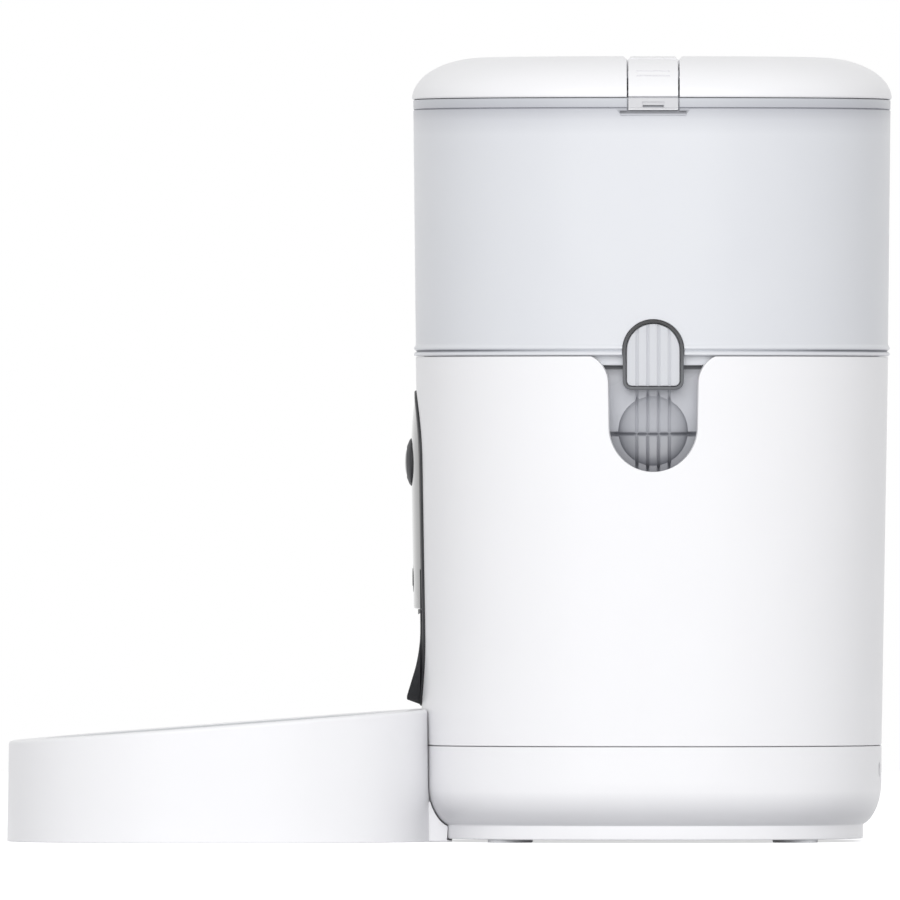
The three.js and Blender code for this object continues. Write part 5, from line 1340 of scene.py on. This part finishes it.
def tray_form(inset, low, drop, rounding):
    """The tray's outline as a solid whose top lies drop under the sloping top."""
    top = TRAY_BACK_TOP
    form = squared(
        [(0, low), (TRAY_HALF - inset, low), (TRAY_HALF - 0.7 - inset, top, rounding), (0, top)]
    )
    stretch = (TRAY_LENGTH_HALF - inset) / (TRAY_HALF - inset)
    for spot in form.verts:
        spot.co.y = spot.co.y * stretch + TRAY_Y
        slope_top = TRAY_FRONT_TOP + (spot.co.y - TRAY_LOW.y) * TRAY_RISE - drop
        share = (spot.co.z - low) / (top - low)
        spot.co.z += share * (slope_top - top)
    return form


def body_room(outset):
    """The base's outer form, grown by outset and run on upwards."""
    return squared([*base_outline(outset), (BASE_HALF + outset, TALL), (0, TALL)])


def tray_opening(half, low, rounding=0):
    """A cutter for an opening in the tray's sloping top."""
    foot = (half, low, rounding) if rounding else (half, low)
    return placed(squared([(0, low), foot, (half, 5), (0, 5)]), ON_TRAY)


def make_tray():
    """The tray: a hollow rim open underneath, hollowed towards the base, with a tongue."""
    tongue_y = (TONGUE_FRONT, 12 - BASE_HALF)
    tongue = block(centred(TONGUE_HALF), tongue_y, (0, TONGUE_TOP), 0.8)
    form = combine(tray_form(0, 0, 0, 1.6), [tongue], "UNION")
    form = combine(form, [body_room(TRAY_GAP)])
    kept = block(centred(TONGUE_HALF), (TONGUE_FRONT, 0), (-3, TONGUE_TOP))
    inside = tray_form(TRAY_WALL, -OVERRUN, RECESS + TRAY_WALL, 1)
    inside = combine(inside, [body_room(TRAY_GAP + TRAY_WALL), kept])
    recess = tray_opening(BOWL_HALF + GAP, -RECESS, 0.5)
    well = tray_opening(BOWL_WALL_HALF + 1.5, -60)
    return soften(combine(form, [inside, recess, well]), 0.4, 2, STEEP)


def make_bowl():
    """A deep-drawn steel bowl with a rolled rim."""
    floor = BOWL_WALL_HALF - 8
    bowl = squared([
        (0, -BOWL_DEPTH), (floor + STEEL, -BOWL_DEPTH, 12), (BOWL_WALL_HALF + STEEL, -1.5, 1.5),
        (BOWL_HALF, -1.5, 0.5), (BOWL_HALF, -0.3, 0.5), (BOWL_WALL_HALF, -0.3, 1.5),
        (floor, STEEL - BOWL_DEPTH, 11), (0, STEEL - BOWL_DEPTH),
    ])
    return placed(bowl, ON_TRAY)


# Every piece
piece("base_tub", make_base(), "white_abs")
for node in foot_nodes:
    piece(node, make_foot(node), "grey_rubber")
for node in screw_nodes:
    piece(node, make_screw(node), "stainless_steel")
piece("battery_door", make_door(), "white_abs")
piece("power_inlet", make_inlet(), "stainless_steel")
piece("reset_button", make_reset(), "black_abs")
piece("housing_shell", make_housing(), "white_abs")
pair("finger_pocket", make_pocket(), "smoke_plastic")
piece("front_bezel", make_bezel(), "black_abs")
piece("face_plate", make_face_plate(), "gloss_black")
piece("camera_ring", make_camera_ring(), "black_abs")
piece("camera_window", make_camera_window(), "gloss_black")
piece("camera_barrel", make_camera_barrel(), "black_abs")
piece("feed_button", make_feed_button(), "gloss_black")
piece("status_light", make_light(), "milky_plastic")
piece("outlet_chute", make_chute(), "black_abs")
piece("hopper", make_hopper(), "milky_plastic")
piece("funnel", make_funnel(), "milky_plastic")
pair("release_frame", make_frame(), "black_abs", "graphite_abs")
pair("release_button", make_button(), "milky_plastic")
piece("lid_cover", make_lid(), "white_abs")
pair("lid_latch", make_latch(), "white_abs")
for node in ("latch_pin_right", "latch_pin_left"):
    piece(node, make_pin(node), "stainless_steel")
piece("lid_inner_plate", make_inner_plate(), "white_abs")
piece("lid_seal", make_seal(), "grey_silicone")
piece("desiccant_box", make_dryer_box(), "white_abs")
piece("desiccant_cap", make_dryer_cap(), "white_abs")
piece("rotor_housing", make_rotor_housing(), "milky_plastic")
piece("rotor", make_rotor(), "grey_silicone")
piece("stirrer", make_stirrer(), "white_abs")
piece("food_tray", make_tray(), "white_abs")
piece("bowl", make_bowl(), "stainless_steel")

# The inner nodes keep their CAD shapes and take the same finishes
INNER = {
    "black_abs": ["drive_deck", "gearbox_case", "gearbox_cover", "speaker"],
    "gear_plastic": ["drive_spindle", "middle_gear"],
    "brass": ["spindle_bush", "motor_pinion"],
    "stainless_steel": ["motor", "battery_contacts_back", "battery_contacts_front"],
    "cell_wrap": ["battery_1", "battery_2", "battery_3"],
    "circuit_board": ["camera_board", "main_board"],
    "sachet_paper": ["desiccant_sachet"],
}
for slot, nodes in INNER.items():
    for node in nodes:
        for place in frame["nodes"][node].material_slots:
            place.material = FINISHES[slot]

# Studio: a pale floor, a white surround and one large soft lamp on the camera's side
VIEW_WIDTH = 0.3564  # of the object's plane across the photograph, in metres
VIEW_DISTANCE = 14
VIEW_Y = 0.0002
VIEW_HEIGHT = 0.1548
FILL = 0.62  # the surround's light on the object, and what the floor adds to look white
scene = bpy.context.scene
scene.view_settings.view_transform = "Standard"


def make_camera():
    camera = bpy.data.cameras.new("photograph")
    camera.sensor_width = 36
    camera.lens = camera.sensor_width * VIEW_DISTANCE / VIEW_WIDTH
    camera.clip_end = 100
    holder = bpy.data.objects.new("photograph", camera)
    holder.location = (VIEW_DISTANCE, VIEW_Y, VIEW_HEIGHT)
    holder.rotation_euler = (QUARTER, 0, QUARTER)
    scene.collection.objects.link(holder)
    scene.camera = holder


def seen_directly(tree):
    """1 for what the camera sees straight, in gloss or through clear plastic, and 0 for light."""
    path = add(tree, "LightPath").outputs
    seen = path["Is Camera Ray"]
    for ray in ("Is Glossy Ray", "Is Transmission Ray"):
        seen = add(tree, "Math", {"operation": "MAXIMUM", 0: seen, 1: path[ray]}).outputs[0]
    return seen


def make_surround():
    world = bpy.data.worlds.new("surround")
    world.use_nodes = True
    tree = world.node_tree
    light = tree.nodes["Background"]
    light.inputs["Color"].default_value = (1, 1, 1, 1)
    tree.links.new(spread(tree, seen_directly(tree), FILL, 1), light.inputs["Strength"])
    scene.world = world


def make_floor():
    form = bmesh.new()
    bmesh.ops.create_circle(form, cap_ends=True, segments=96, radius=3)
    mesh = bpy.data.meshes.new("floor")
    form.to_mesh(mesh)
    form.free()
    floor = bpy.data.objects.new("floor", mesh)
    scene.collection.objects.link(floor)
    material = bpy.data.materials.new("paper_backdrop_white")
    material.use_nodes = True
    tree = material.node_tree
    shader = tree.nodes["Principled BSDF"]
    shader.inputs["Base Color"].default_value = linear("DEDEE0")
    shader.inputs["Roughness"].default_value = 0.9
    shader.inputs["Emission Color"].default_value = (1, 1, 1, 1)
    glow = spread(tree, seen_directly(tree), 0, FILL)
    tree.links.new(glow, shader.inputs["Emission Strength"])
    mesh.materials.append(material)


def make_lamp(name, place, size, power):
    lamp = bpy.data.lights.new(name, "AREA")
    lamp.shape = "RECTANGLE"
    lamp.size = size[0]
    lamp.size_y = size[1]
    lamp.energy = power
    holder = bpy.data.objects.new(name, lamp)
    holder.location = place
    aim = Vector((0, 0, 0.15)) - holder.location
    holder.rotation_euler = aim.to_track_quat("-Z", "Y").to_euler()
    scene.collection.objects.link(holder)


make_camera()
make_surround()
make_floor()
make_lamp("soft_front", place=(4, -0.2, 1.6), size=(3.6, 2.4), power=93)
